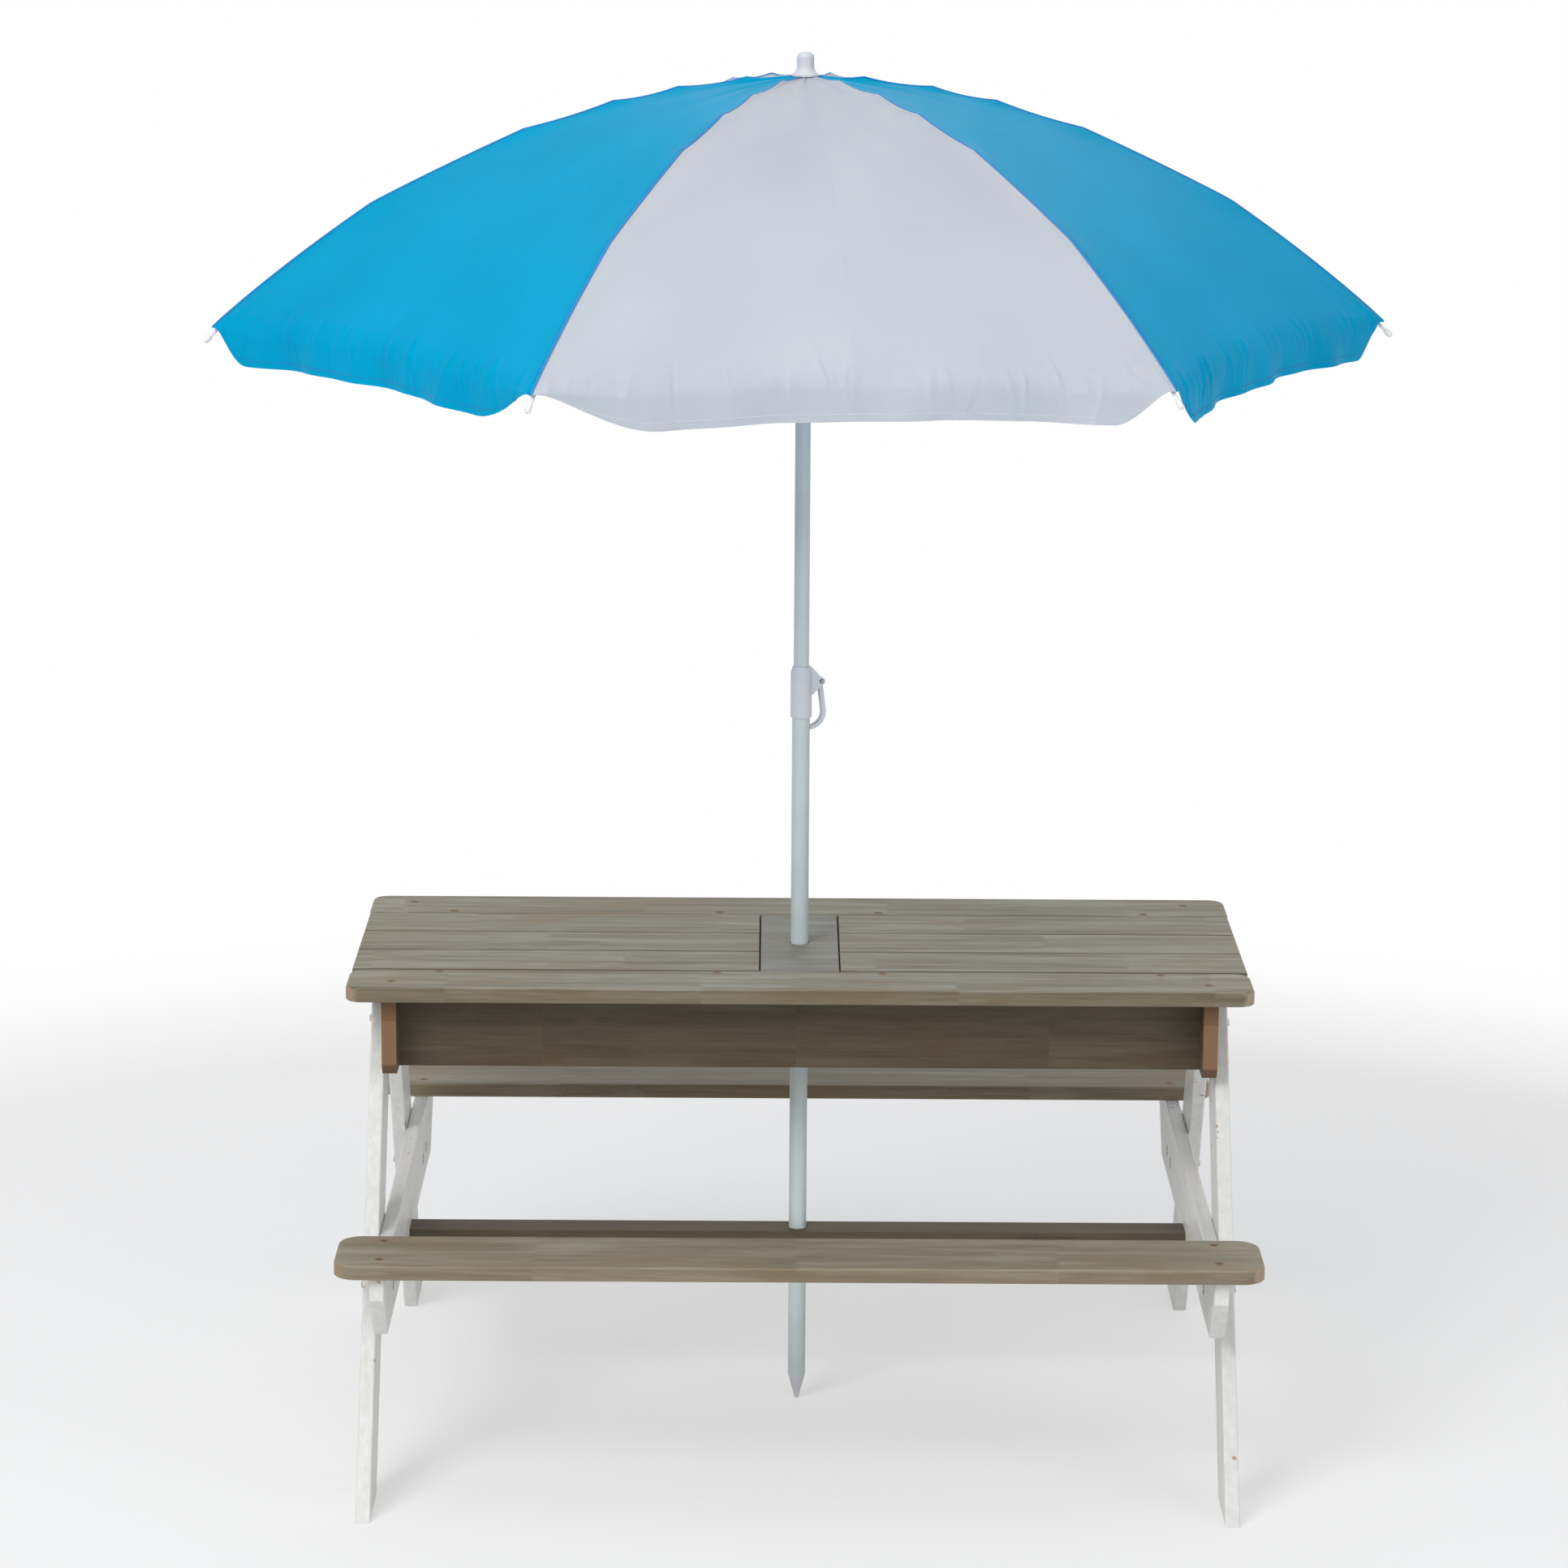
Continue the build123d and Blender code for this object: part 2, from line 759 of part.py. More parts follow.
def strut(k):
    low = (runner_pivot_radius, runner_pivot_height)
    high = strut_joint()
    length = hypot(high[0] - low[0], high[1] - low[1])
    turn = degrees(atan2(high[1] - low[1], high[0] - low[0]))
    bar = Pos(strut_eye_reach, 0, 0) * Rot(0, 90, 0) * extrude(
        Circle(strut_radius), length - 2 * strut_eye_reach
    )
    eye_length = strut_eye_reach + strut_radius
    for x in (eye_length / 2, length - eye_length / 2):
        link = SlotCenterToCenter(eye_length, 2 * strut_eye_radius)
        bar += Pos(x, 0, 0) * extrude(Plane.XZ * link, strut_eye_thickness / 2, both=True)
    bar -= Plane.XZ * extrude(Circle(hinge_pin_radius + pin_room), strut_eye_thickness, both=True)
    rivet_inner = strut_offset - rib_radius - eye_room
    rivet_outer = strut_eye_thickness / 2
    place = Pos(length, 0, 0)
    bore = Circle(strut_rivet_radius + fastener_room)
    hole = Plane.XZ * extrude(bore, strut_eye_thickness, both=True)
    bar -= place * hole
    shank = Plane.XZ * extrude(Circle(strut_rivet_radius), rivet_inner)
    shank += Plane.XZ * extrude(Circle(strut_rivet_radius), -rivet_outer)
    head = Plane.XZ * extrude(Circle(strut_rivet_head_radius), -strut_rivet_head_height)
    rivet = place * (shank + Pos(0, rivet_outer, 0) * head)
    lay = Rot(0, 0, rib_azimuth(k)) * Pos(low[0], strut_offset, low[1]) * Rot(0, -turn, 0)
    return gather([lay * bar, lay * rivet])


def hinge_pin(radius_out, height, offset, slot):
    """A pin across a slot, gripped on both sides of it."""
    length = slot + 2 * hinge_pin_grip
    pin = Plane.XZ * extrude(Circle(hinge_pin_radius), length / 2, both=True)
    return Pos(radius_out, offset, height) * pin


def slotted(solid, radius_in, radius_out, foot, top, offset, slot, pivot, height):
    """The hub with a slot and a pin hole for each rib."""
    cutter = Box(radius_out - radius_in + overrun, slot, top - foot + 2 * overrun)
    place = Pos((radius_in + radius_out + overrun) / 2, offset, (foot + top) / 2)
    bore = Circle(hinge_pin_radius + fastener_room)
    reach = slot / 2 + hinge_pin_grip + fastener_room
    hole = Plane.XZ * extrude(bore, reach, both=True)
    tool = place * cutter + Pos(pivot, offset, height) * hole
    return solid - [Rot(0, 0, rib_azimuth(k)) * tool for k in range(1, rib_count + 1)]


def crown():
    top = crown_foot + crown_height
    ring = turned([
        (mast_radius + fastener_room, crown_foot),
        (crown_radius, crown_foot),
        (crown_radius, top),
        (mast_radius + fastener_room, top),
    ])
    slot = rib_eye_thickness + 2 * eye_room
    return slotted(
        ring, crown_web_radius, crown_radius, crown_foot, top, 0.0, slot,
        crown_pivot_radius, crown_pivot_height,
    )


def crown_pins():
    slot = rib_eye_thickness + 2 * eye_room
    pin = hinge_pin(crown_pivot_radius, crown_pivot_height, 0.0, slot)
    return gather(Rot(0, 0, rib_azimuth(k)) * pin for k in range(1, rib_count + 1))


def runner():
    top = runner_pivot_height + runner_flange_above
    shoulder = runner_pivot_height - runner_flange_below
    foot = top - runner_length
    bore = mast_radius + slide_room
    ring = turned([
        (bore, foot),
        (runner_grip_radius, foot),
        (runner_grip_radius, foot + runner_grip_height),
        (runner_radius, foot + 2 * runner_grip_height),
        (runner_radius, shoulder - runner_grip_height),
        (runner_flange_radius, shoulder),
        (runner_flange_radius, top),
        (bore, top),
    ])
    slot = strut_eye_thickness + 2 * eye_room
    return slotted(
        ring, runner_web_radius, runner_flange_radius, shoulder - runner_grip_height, top,
        strut_offset, slot, runner_pivot_radius, runner_pivot_height,
    )


def runner_pins():
    slot = strut_eye_thickness + 2 * eye_room
    pin = hinge_pin(runner_pivot_radius, runner_pivot_height, strut_offset, slot)
    return gather(Rot(0, 0, rib_azimuth(k)) * pin for k in range(1, rib_count + 1))


def finial():
    """A rounded knob with a flared skirt that holds the cloth down, and a socket for the pole."""
    foot = canopy_top + cloth_room
    skirt_top = foot + finial_skirt_height
    shoulder = finial_top - finial_crown
    socket = mast_radius + finial_wall_room
    outline = (
        Polyline(
            (finial_radius, skirt_top + finial_flare),
            (finial_radius, shoulder),
        )
        + ThreePointArc(
            (finial_radius, shoulder),
            (finial_radius * 0.8, finial_top - finial_crown * 0.3),
            (finial_radius / 3, finial_top),
        )
        + Polyline(
            (finial_radius / 3, finial_top),
            (0, finial_top),
            (0, mast_top + finial_wall_room),
            (socket, mast_top + finial_wall_room),
            (socket, foot),
            (finial_skirt_radius, foot),
            (finial_skirt_radius, foot + finial_skirt_height / 3),
        )
        + ThreePointArc(
            (finial_skirt_radius, foot + finial_skirt_height / 3),
            (finial_radius + (finial_skirt_radius - finial_radius) * 0.3, skirt_top),
            (finial_radius, skirt_top + finial_flare),
        )
    )
    return revolve(make_face(Plane.XZ * outline), Axis.Z)


os.makedirs("parts", exist_ok=True)
rows = {"front": -1, "rear": 1}
sides = {"left": -1, "right": 1}

save("centre_panel", centre_panel())
save("panel_cleats", panel_cleats())
save("floor_battens", floor_battens())
save("pole_rail", pole_rail())
save("wood_screws", wood_screws())
save("leg_bolts", leg_bolts())
for row_name, row in rows.items():
    save(f"{row_name}_top_plank", top_plank(row))
    save(f"{row_name}_box_board", box_board(row))
    save(f"{row_name}_bench", bench(row))
for side_name, side in sides.items():
    save(f"{side_name}_top_beam", top_beam(side))
    save(f"{side_name}_bench_beam", bench_beam(side))
    save(f"{side_name}_divider", divider(side))
    save(f"{side_name}_floor_panel", floor_panel(side))
    save(f"{side_name}_lid_slats", lid_slats(side))
    save(f"{side_name}_lid_battens", lid_battens(side))
    save(f"{side_name}_lid_screws", gather(p * wood_screw(lid_screw_length) for p in lid_screws[side]))
    for row_name, row in rows.items():
        save(f"{side_name}_{row_name}_leg", leg(side, row))

save("lower_pole", tube(pole_radius, pole_wall, pole_foot, pole_top))
save("pole_spike", pole_spike())
save("clamp_sleeve", clamp_sleeve())
save("clamp_rivet", clamp_rivet())
save("clamp_lever", clamp_lever())
save("upper_pole", tube(mast_radius, mast_wall, mast_foot, mast_top))
save("crown", crown())
save("crown_pins", crown_pins())
save("runner", runner())
save("runner_pins", runner_pins())
save("finial", finial())
for k in range(1, rib_count + 1):
    save(f"rib_{k}", rib(k))
    save(f"strut_{k}", strut(k))
    save(f"canopy_panel_{k}", canopy_panel(k))
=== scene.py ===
# %% [markdown]
# # A child's picnic table with a sandbox and a small parasol
#
# The table is stained and painted softwood, and the parasol is coated steel tube with a cloth canopy.
# Every rigid piece comes ready from the CAD frame, in metres, with the ground at zero. This script gives
# each of them its finish, and makes the pieces that a CAD model leaves plain: the cloth and its seams,
# the stitches and the screws.

# %% Load the CAD frame
import json

import bmesh
import bpy
import numpy as np
from math import cos, hypot, pi, radians, sin
from mathutils import Matrix, Vector


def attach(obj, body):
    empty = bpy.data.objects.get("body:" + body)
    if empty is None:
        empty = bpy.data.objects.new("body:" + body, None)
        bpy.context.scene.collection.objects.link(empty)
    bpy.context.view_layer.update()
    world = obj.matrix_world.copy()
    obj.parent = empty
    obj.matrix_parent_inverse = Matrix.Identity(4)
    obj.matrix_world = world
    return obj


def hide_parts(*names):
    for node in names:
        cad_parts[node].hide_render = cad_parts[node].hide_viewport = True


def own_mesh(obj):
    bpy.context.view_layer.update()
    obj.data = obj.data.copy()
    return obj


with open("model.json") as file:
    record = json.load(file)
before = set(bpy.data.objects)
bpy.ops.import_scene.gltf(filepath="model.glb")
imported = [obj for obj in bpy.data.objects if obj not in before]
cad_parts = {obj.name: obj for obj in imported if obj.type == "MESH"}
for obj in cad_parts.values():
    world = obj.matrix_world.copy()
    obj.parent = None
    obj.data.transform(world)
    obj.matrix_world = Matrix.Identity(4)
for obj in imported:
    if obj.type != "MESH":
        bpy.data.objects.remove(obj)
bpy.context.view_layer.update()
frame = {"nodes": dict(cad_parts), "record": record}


def link(name, data):
    """A new object in the scene, at the world's origin."""
    obj = bpy.data.objects.new(name, data)
    bpy.context.scene.collection.objects.link(obj)
    return obj


def settled(name, bm):
    """A bmesh as a new object in the scene."""
    mesh = bpy.data.meshes.new(name)
    bm.to_mesh(mesh)
    bm.free()
    return link(name, mesh)


rib_numbers = range(1, 7)

# %% [markdown]
# The camera stands a little above the tabletop, a long way off, so the lines run nearly parallel. Its
# place, its two tilts and its lens were worked out from the corners of the table in the photograph.
# A camera could also be aimed with a constraint, but a matrix of its three axes says it exactly.

# %% Camera
camera_place = Vector((-0.03218, -5.33597, 1.81178))
camera_pitch = radians(-12.07)
camera_yaw = radians(0.16)
camera_roll = radians(0.36)
lens_length, sensor_width = 120.02, 36.0

ahead = Vector((sin(camera_yaw) * cos(camera_pitch), cos(camera_yaw) * cos(camera_pitch), sin(camera_pitch)))
level = Vector((cos(camera_yaw), -sin(camera_yaw), 0.0))
upward = level.cross(ahead)
right = level * cos(camera_roll) + upward * sin(camera_roll)
upward = upward * cos(camera_roll) - level * sin(camera_roll)

lens = bpy.data.cameras.new("camera")
lens.lens = lens_length
lens.sensor_width = sensor_width
camera = link("camera", lens)
camera.matrix_world = Matrix((right, upward, -ahead)).transposed().to_4x4()
camera.location = camera_place
bpy.context.scene.camera = camera
bpy.context.scene.view_settings.view_transform = "Standard"
print("camera at", tuple(camera_place), "with a", lens_length, "mm lens")

# %% [markdown]
# A material is a small graph of nodes. One function adds a node with its settings, its fixed values and
# its links, and another turns the colours, which are written as on a paint chart, to linear light.

# %% Helpers for materials
multiply = {"operation": "MULTIPLY"}
larger = {"operation": "MAXIMUM"}
length_of = {"operation": "LENGTH"}
mix_colour = {"data_type": "RGBA"}
mix_a, mix_b, mixed = 6, 7, 2      # the colour sockets of a mix node, going in and coming out


def linear(colour):
    """An sRGB hex colour as linear red, green, blue and alpha."""
    parts = [int(colour[i : i + 2], 16) / 255 for i in (1, 3, 5)]
    return [c / 12.92 if c <= 0.04045 else ((c + 0.055) / 1.055) ** 2.4 for c in parts] + [1.0]


def add(tree, kind, settings=None, values=None, links=None, stops=()):
    """One new node. Settings are its own, values and links go to its sockets, stops are a ramp's colours.

    A link comes from a socket, or from a node, which then stands for its first output.
    """
    made = tree.nodes.new(kind)
    for name, value in (settings or {}).items():
        setattr(made, name, value)
    for name, value in (values or {}).items():
        made.inputs[name].default_value = value
    for name, source in (links or {}).items():
        socket = source.outputs[0] if isinstance(source, bpy.types.Node) else source
        tree.links.new(socket, made.inputs[name])
    for i, (place, colour) in enumerate(stops):
        points = made.color_ramp.elements
        point = points[i] if i < 2 else points.new(place)
        point.position = place
        point.color = linear(colour)
    return made


def finish(name, **values):
    """A new material with one shader: its graph, and the shader that the pattern goes into."""
    material = bpy.data.materials.new(name)
    material.use_nodes = True
    tree = material.node_tree
    tree.nodes.clear()
    values = {label.replace("_", " "): value for label, value in values.items()}
    shader = add(tree, "ShaderNodeBsdfPrincipled", values=values)
    add(tree, "ShaderNodeOutputMaterial", links={"Surface": shader})
    return material, tree, shader


def cover(tree, shader, colour, height, strength, depth):
    """Gives a shader its colour, and a relief that follows the height of a pattern, depth in metres."""
    tree.links.new(colour, shader.inputs["Base Color"])
    bump = {"Strength": strength, "Distance": depth}
    relief = add(tree, "ShaderNodeBump", values=bump, links={"Height": height})
    tree.links.new(relief.outputs[0], shader.inputs["Normal"])


def give(obj, *materials):
    """Puts materials in an object's slots, and empties the rest."""
    obj.data.materials.clear()
    for material in materials:
        obj.data.materials.append(material)


print("helpers ready")

# %% [markdown]
# The floor is plain and pale. Near the table it is a matt surface that keeps the soft shadow, and from
# there it turns into the white of the background, so no horizon shows from any side. The world is white
# to the camera and in reflections only, and lights the object with a weaker, plain grey.

# %% Floor and world
floor_reach = 14.0
floor_gap = 0.0005
shadow_reach = (0.9, 2.2)
white_least = 0.45


def looked_at(tree, *kinds):
    """1 for the rays that look at a surface, from the camera or in a reflection, and 0 for the others."""
    rays = add(tree, "ShaderNodeLightPath")
    share = rays.outputs[kinds[0]]
    for kind in kinds[1:]:
        share = add(tree, "ShaderNodeMath", larger, links={0: share, 1: rays.outputs[kind]}).outputs[0]
    return share


bm = bmesh.new()
bmesh.ops.create_circle(bm, cap_ends=True, segments=96, radius=floor_reach)
floor = settled("floor", bm)
floor.location.z = -floor_gap

paper, tree, shader = finish("pale_studio_floor", Roughness=0.9, Specular_IOR_Level=0.1)
shader.inputs["Base Color"].default_value = linear("#f4f4f4")
place = add(tree, "ShaderNodeTexCoord")
away = add(tree, "ShaderNodeVectorMath", length_of, links={0: place.outputs["Object"]})
fade = add(
    tree,
    "ShaderNodeMapRange",
    {"interpolation_type": "SMOOTHSTEP"},
    {"From Min": shadow_reach[0], "From Max": shadow_reach[1]},
    {"Value": away.outputs["Value"]},
)
seen = looked_at(tree, "Is Camera Ray", "Is Glossy Ray")
lifted = add(tree, "ShaderNodeMath", larger, {1: white_least}, {0: fade})
white_share = add(tree, "ShaderNodeMath", multiply, links={0: lifted, 1: seen})
white = add(tree, "ShaderNodeEmission", values={"Strength": 1.0})
surface = add(
    tree, "ShaderNodeMixShader", links={0: white_share, 1: shader, 2: white}
)
tree.links.new(surface.outputs[0], tree.nodes["Material Output"].inputs["Surface"])
give(floor, paper)

world = bpy.data.worlds.new("studio")
world.use_nodes = True
bpy.context.scene.world = world
tree = world.node_tree
tree.nodes.clear()
seen = looked_at(tree, "Is Camera Ray", "Is Glossy Ray", "Is Transmission Ray")
ambient = add(tree, "ShaderNodeBackground", values={"Color": linear("#fbfcff"), "Strength": 0.42})
white = add(tree, "ShaderNodeBackground", values={"Color": (1, 1, 1, 1), "Strength": 1.0})
surface = add(tree, "ShaderNodeMixShader", links={0: seen, 1: ambient, 2: white})
add(tree, "ShaderNodeOutputWorld", links={"Surface": surface})
print("floor reaches", floor_reach, "m")

# %% [markdown]
# Four soft boxes light the object: a key at the front left, which gives the faint shadow of the pole on
# the tabletop, a wide top light, a weak fill at the right and a weaker one behind. Each line gives a
# light's place and target, its width in metres and its power in watts.

# %% Lights
softboxes = {
    "key_softbox": ((-2.4, -3.9, 3.6), (0.0, 0.0, 0.8), 2.4, 148.0),
    "top_softbox": ((-0.3, -0.6, 3.6), (0.0, 0.0, 0.0), 2.6, 20.0),
    "fill_softbox": ((3.2, -2.8, 1.6), (0.0, 0.0, 0.7), 2.4, 36.0),
    "rear_softbox": ((0.6, 3.6, 2.4), (0.0, 0.0, 0.7), 2.6, 12.0),
}
for name, (place, target, size, watts) in softboxes.items():
    light = bpy.data.lights.new(name, "AREA")
    light.shape = "SQUARE"
    light.size = size
    light.energy = watts
    lamp = link(name, light)
    lamp.location = place
    lamp.rotation_euler = (Vector(target) - Vector(place)).to_track_quat("-Z", "Y").to_euler()
print(len(softboxes), "softboxes")

# %% [markdown]
# The boards are softwood with a thin grey stain, so the grain shows through. It runs along each board as
# fine streaks and broad bands, with brown spots and chalky patches where the stain took less or more. The
# boards are glued up from short lengths with finger joints, so the tone changes a little every 25 cm or so.
# One graph serves every board: only the direction of the grain, the tones and the width of a board differ.
# It starts with a random number for each glued length, which all the patterns use.

# %% Wood: one random number for each glued length
plus = {"operation": "ADD"}
scale_and_add = {"operation": "MULTIPLY_ADD"}
snap = {"operation": "SNAP"}
back_and_forth = {"operation": "PINGPONG"}
size_only = {"operation": "ABSOLUTE"}
finger_pitch = 0.0022        # from the tip of a finger to its root, across the board
finger_length = 3.0          # times the pitch
block_length = 0.26
length_stagger = 7.31        # times a board's place across, which shifts its joints


def glued_lengths(tree, place, along, board, board_from, layer):
    """Random number and colour for each glued length of each board, and the place across the boards."""
    across = 1 if along == 0 else 0
    axes = add(tree, "ShaderNodeSeparateXYZ", links={0: place.outputs["Object"]})
    shifted = add(tree, "ShaderNodeMath", plus, {1: board_from}, {0: axes.outputs[across]})
    number = add(tree, "ShaderNodeMath", snap, {1: board}, {0: shifted})
    teeth = add(tree, "ShaderNodeMath", back_and_forth, {1: finger_pitch}, {0: shifted})
    toothed = {0: teeth, 2: axes.outputs[along]}
    toothed = add(tree, "ShaderNodeMath", scale_and_add, {1: finger_length}, toothed)
    offset = add(tree, "ShaderNodeMath", scale_and_add, {1: length_stagger}, {0: number, 2: toothed})
    length = add(tree, "ShaderNodeMath", snap, {1: block_length}, {0: offset})
    height = add(tree, "ShaderNodeMath", snap, {1: layer}, {0: axes.outputs[2]})
    piece = {0: number, 1: length, 2: height}
    piece = {"Vector": add(tree, "ShaderNodeCombineXYZ", links=piece).outputs[0]}
    luck = add(tree, "ShaderNodeTexWhiteNoise", {"noise_dimensions": "3D"}, links=piece)
    return luck, shifted


print("finger joints", finger_pitch * 2000, "mm wide")

# %% [markdown]
# Noise that is stretched along the board gives streaks of a real size: its scale across the grain is one
# over the width of a streak in metres, and along the grain one over its length. Each size below is in
# millimetres, across the grain and along it. The real pores are finer than the finest streaks here, which
# are 2 mm wide, but they would not show from the camera.

# %% Wood: streaks, bands and patches
streak_size, band_size, patch_size = (2.0833, 71.43), (18.182, 333.3), (58.82, 200.0)
streak_noise = {"Scale": 1.0, "Detail": 5.0, "Roughness": 0.75}
band_noise = {"Scale": 1.0, "Detail": 5.0, "Roughness": 0.6, "Distortion": 0.5}
patch_noise = {"Scale": 1.0, "Detail": 5.0, "Roughness": 0.62, "Distortion": 0.8}
streak_share = 0.7
luck_share = 0.055
grain_range = {"From Min": 0.64, "From Max": 1.12}
spot_range = {"From Min": 0.52, "From Max": 0.68, "To Max": 0.85}
chalk_range = {"From Min": 0.47, "From Max": 0.30, "To Max": 0.6}


def stretched_noise(tree, place, along, size, noise):
    """Noise whose spots have one size across an axis and another along it, in millimetres."""
    stretch = [1000 / size[0]] * 3
    stretch[along] = 1000 / size[1]
    stretched = add(tree, "ShaderNodeVectorMath", multiply, {1: stretch}, {0: place})
    return add(tree, "ShaderNodeTexNoise", values=noise, links={"Vector": stretched}).outputs[0]


def grain(tree, place, along, luck, tones):
    """The stained tone of a board, its streaks, and the place that its luck has moved it to."""
    moved = {0: place.outputs["Object"], 1: luck.outputs["Color"]}
    moved = add(tree, "ShaderNodeVectorMath", plus, links=moved).outputs[0]
    streaks = stretched_noise(tree, moved, along, streak_size, streak_noise)
    patches = stretched_noise(tree, place.outputs["Object"], along, patch_size, patch_noise)
    bands = stretched_noise(tree, moved, along, band_size, band_noise)
    both = add(tree, "ShaderNodeMath", scale_and_add, {1: streak_share}, {0: streaks, 2: bands})
    lucky = add(tree, "ShaderNodeMath", scale_and_add, {1: luck_share}, {0: luck.outputs["Value"], 2: both})
    spread = add(tree, "ShaderNodeMapRange", values=grain_range, links={"Value": lucky})
    stops = ((0.0, tones[0]), (1.0, tones[2]), (0.5, tones[1]))
    tone = add(tree, "ShaderNodeValToRGB", links={0: spread}, stops=stops).outputs[0]
    for patch_range, colour in ((spot_range, tones[3]), (chalk_range, tones[2])):
        share = add(tree, "ShaderNodeMapRange", values=patch_range, links={"Value": patches})
        over = {0: share, mix_a: tone}
        tone = add(tree, "ShaderNodeMix", mix_colour, {mix_b: linear(colour)}, over).outputs[mixed]
    return tone, streaks, moved


print("streaks", round(streak_size[0], 1), "mm wide, bands", round(band_size[0], 1))

# %% [markdown]
# Two more things come on top. Dirt collects in the joints between two boards, so the edges there are
# darker, and the upright sides of a bench get painted shade: the same dark tone all over, so they are
# darker than the tops. And round each screw the countersink has cut through the stain, which leaves a thin
# ring of raw wood. The places of the screws are mirrored about the middle of the table, so one quarter of
# them is enough.

# %% Wood: dirt in the joints, painted shade on the bench sides, and rings round the screws
dirt_and_shade_tone = "#4a3d2b"
joint_range = {"From Min": 0.0009, "From Max": 0.0022, "To Min": 0.9, "To Max": 0.0}
side_dirt = {"To Min": 0.55, "To Max": 1.0}
screw_marks = (
    (0.4162, 0.175, 0),
    (0.085, 0.133, 0),
    (0.370, 0.133, 0),
    (0.4162, 0.3058, 0),
    (0.4162, 0.368, 0),
)
raw_ring, raw_strength = (0.0036, 0.0054), 0.7


def dirt_and_side_shade(tree, tone, place, shifted, board, side):
    """The tone with dark joints, less so on a board's sides, and painted shade on upright sides where side is
    set.
    """
    facing = add(tree, "ShaderNodeSeparateXYZ", links={0: place.outputs["Normal"]})
    joint = add(tree, "ShaderNodeMath", back_and_forth, {1: board / 2}, {0: shifted})
    at_joint = add(tree, "ShaderNodeMapRange", values=joint_range, links={"Value": joint})
    upward_share = add(tree, "ShaderNodeMapRange", values=side_dirt, links={"Value": facing.outputs[2]})
    shares = [add(tree, "ShaderNodeMath", multiply, links={0: at_joint, 1: upward_share})]
    # Painted shade: where side is set, upright faces are darkened with the dark tone, so they are darker than
    # the tops.
    if side:
        level = add(tree, "ShaderNodeMath", size_only, links={0: facing.outputs[2]})
        upright_shade = {"From Min": 0.7, "From Max": 0.3, "To Max": side}
        shares.append(add(tree, "ShaderNodeMapRange", values=upright_shade, links={"Value": level}))
    for share in shares:
        over = {0: share, mix_a: tone}
        tone = add(tree, "ShaderNodeMix", mix_colour, {mix_b: linear(dirt_and_shade_tone)}, over).outputs[mixed]
    return tone, facing


def marked(tree, place, marks, plane, reach, strength):
    """How strongly raw wood shows round the marks, mirrored about the middle. Plane drops an axis."""
    folded = add(tree, "ShaderNodeVectorMath", size_only, links={0: place})
    flat = add(tree, "ShaderNodeVectorMath", multiply, {1: plane}, {0: folded})
    nearest = None
    for mark in marks:
        away = add(tree, "ShaderNodeVectorMath", {"operation": "DISTANCE"}, {1: mark}, {0: flat})
        both = {0: away.outputs["Value"], 1: nearest or away.outputs["Value"]}
        nearest = add(tree, "ShaderNodeMath", {"operation": "MINIMUM"}, links=both).outputs[0]
    fade = {"From Min": reach[0], "From Max": reach[1], "To Min": strength, "To Max": 0.0}
    return add(tree, "ShaderNodeMapRange", values=fade, links={"Value": nearest}).outputs[0]


print(4 * len(screw_marks), "screws leave a ring")

# %% [markdown]
# The cut ends show the growth rings, and a browner colour where the stain is thin. The rings are 3.5 mm
# apart and run round a heart within 20 cm, whose place differs from one glued length to the next. A face
# counts as an end where its normal points along the grain.

# %% Wood: growth rings and the finished material
heart_reach = 0.2
ring_pitch = 0.003489
wave_pitch = 0.314           # between two crests of a wave texture with a scale of 1
ring_wave = {"Scale": wave_pitch / ring_pitch, "Distortion": 2.2, "Detail": 2.0, "Detail Scale": 1.5}
ring_share = 0.3
end_range = {"From Min": 0.45, "From Max": 0.6}


def end_grain(tree, moved, along, luck, tones):
    """The tone of a board's cut end."""
    wrap = {1: (heart_reach,) * 3, 2: (-heart_reach,) * 3}
    heart = add(tree, "ShaderNodeVectorMath", {"operation": "WRAP"}, wrap, {0: moved})
    kind = {"wave_type": "RINGS", "rings_direction": "XYZ"[along]}
    rings = add(tree, "ShaderNodeTexWave", kind, ring_wave, {"Vector": heart})
    ringed = {0: rings.outputs["Fac"], 2: luck.outputs["Value"]}
    ringed = add(tree, "ShaderNodeMath", scale_and_add, {1: ring_share}, ringed)
    stops = ((0.05, tones[0]), (1.0, tones[1]))
    return add(tree, "ShaderNodeValToRGB", links={0: ringed}, stops=stops)


def wood(name, along, tones, end_tones, board=0.0823, board_from=0.0, layer=1.0, side=0.0, marks=()):
    """Stained softwood. Along is the grain's axis, board a board's width, layer a glued layer's height, side
    painted shade on upright faces.
    """
    material, tree, shader = finish(name, Roughness=0.62, Specular_IOR_Level=0.35)
    place = add(tree, "ShaderNodeTexCoord")
    luck, shifted = glued_lengths(tree, place, along, board, board_from, layer)
    tone, streaks, moved = grain(tree, place, along, luck, tones)
    tone, facing = dirt_and_side_shade(tree, tone, place, shifted, board, side)
    cut = end_grain(tree, moved, along, luck, end_tones)
    size = add(tree, "ShaderNodeMath", size_only, links={0: facing.outputs[along]})
    is_end = add(tree, "ShaderNodeMapRange", values=end_range, links={"Value": size})
    colour = add(tree, "ShaderNodeMix", mix_colour, links={0: is_end, mix_a: tone, mix_b: cut})
    if marks:
        ring = marked(tree, place.outputs["Object"], marks, (1, 1, 0), raw_ring, raw_strength)
        over = {0: ring, mix_a: colour.outputs[mixed]}
        colour = add(tree, "ShaderNodeMix", mix_colour, {mix_b: linear("#6a452a")}, over)
    cover(tree, shader, colour.outputs[mixed], streaks, strength=0.35, depth=0.0004)
    return material


print("rings", round(ring_pitch * 1000, 1), "mm apart")

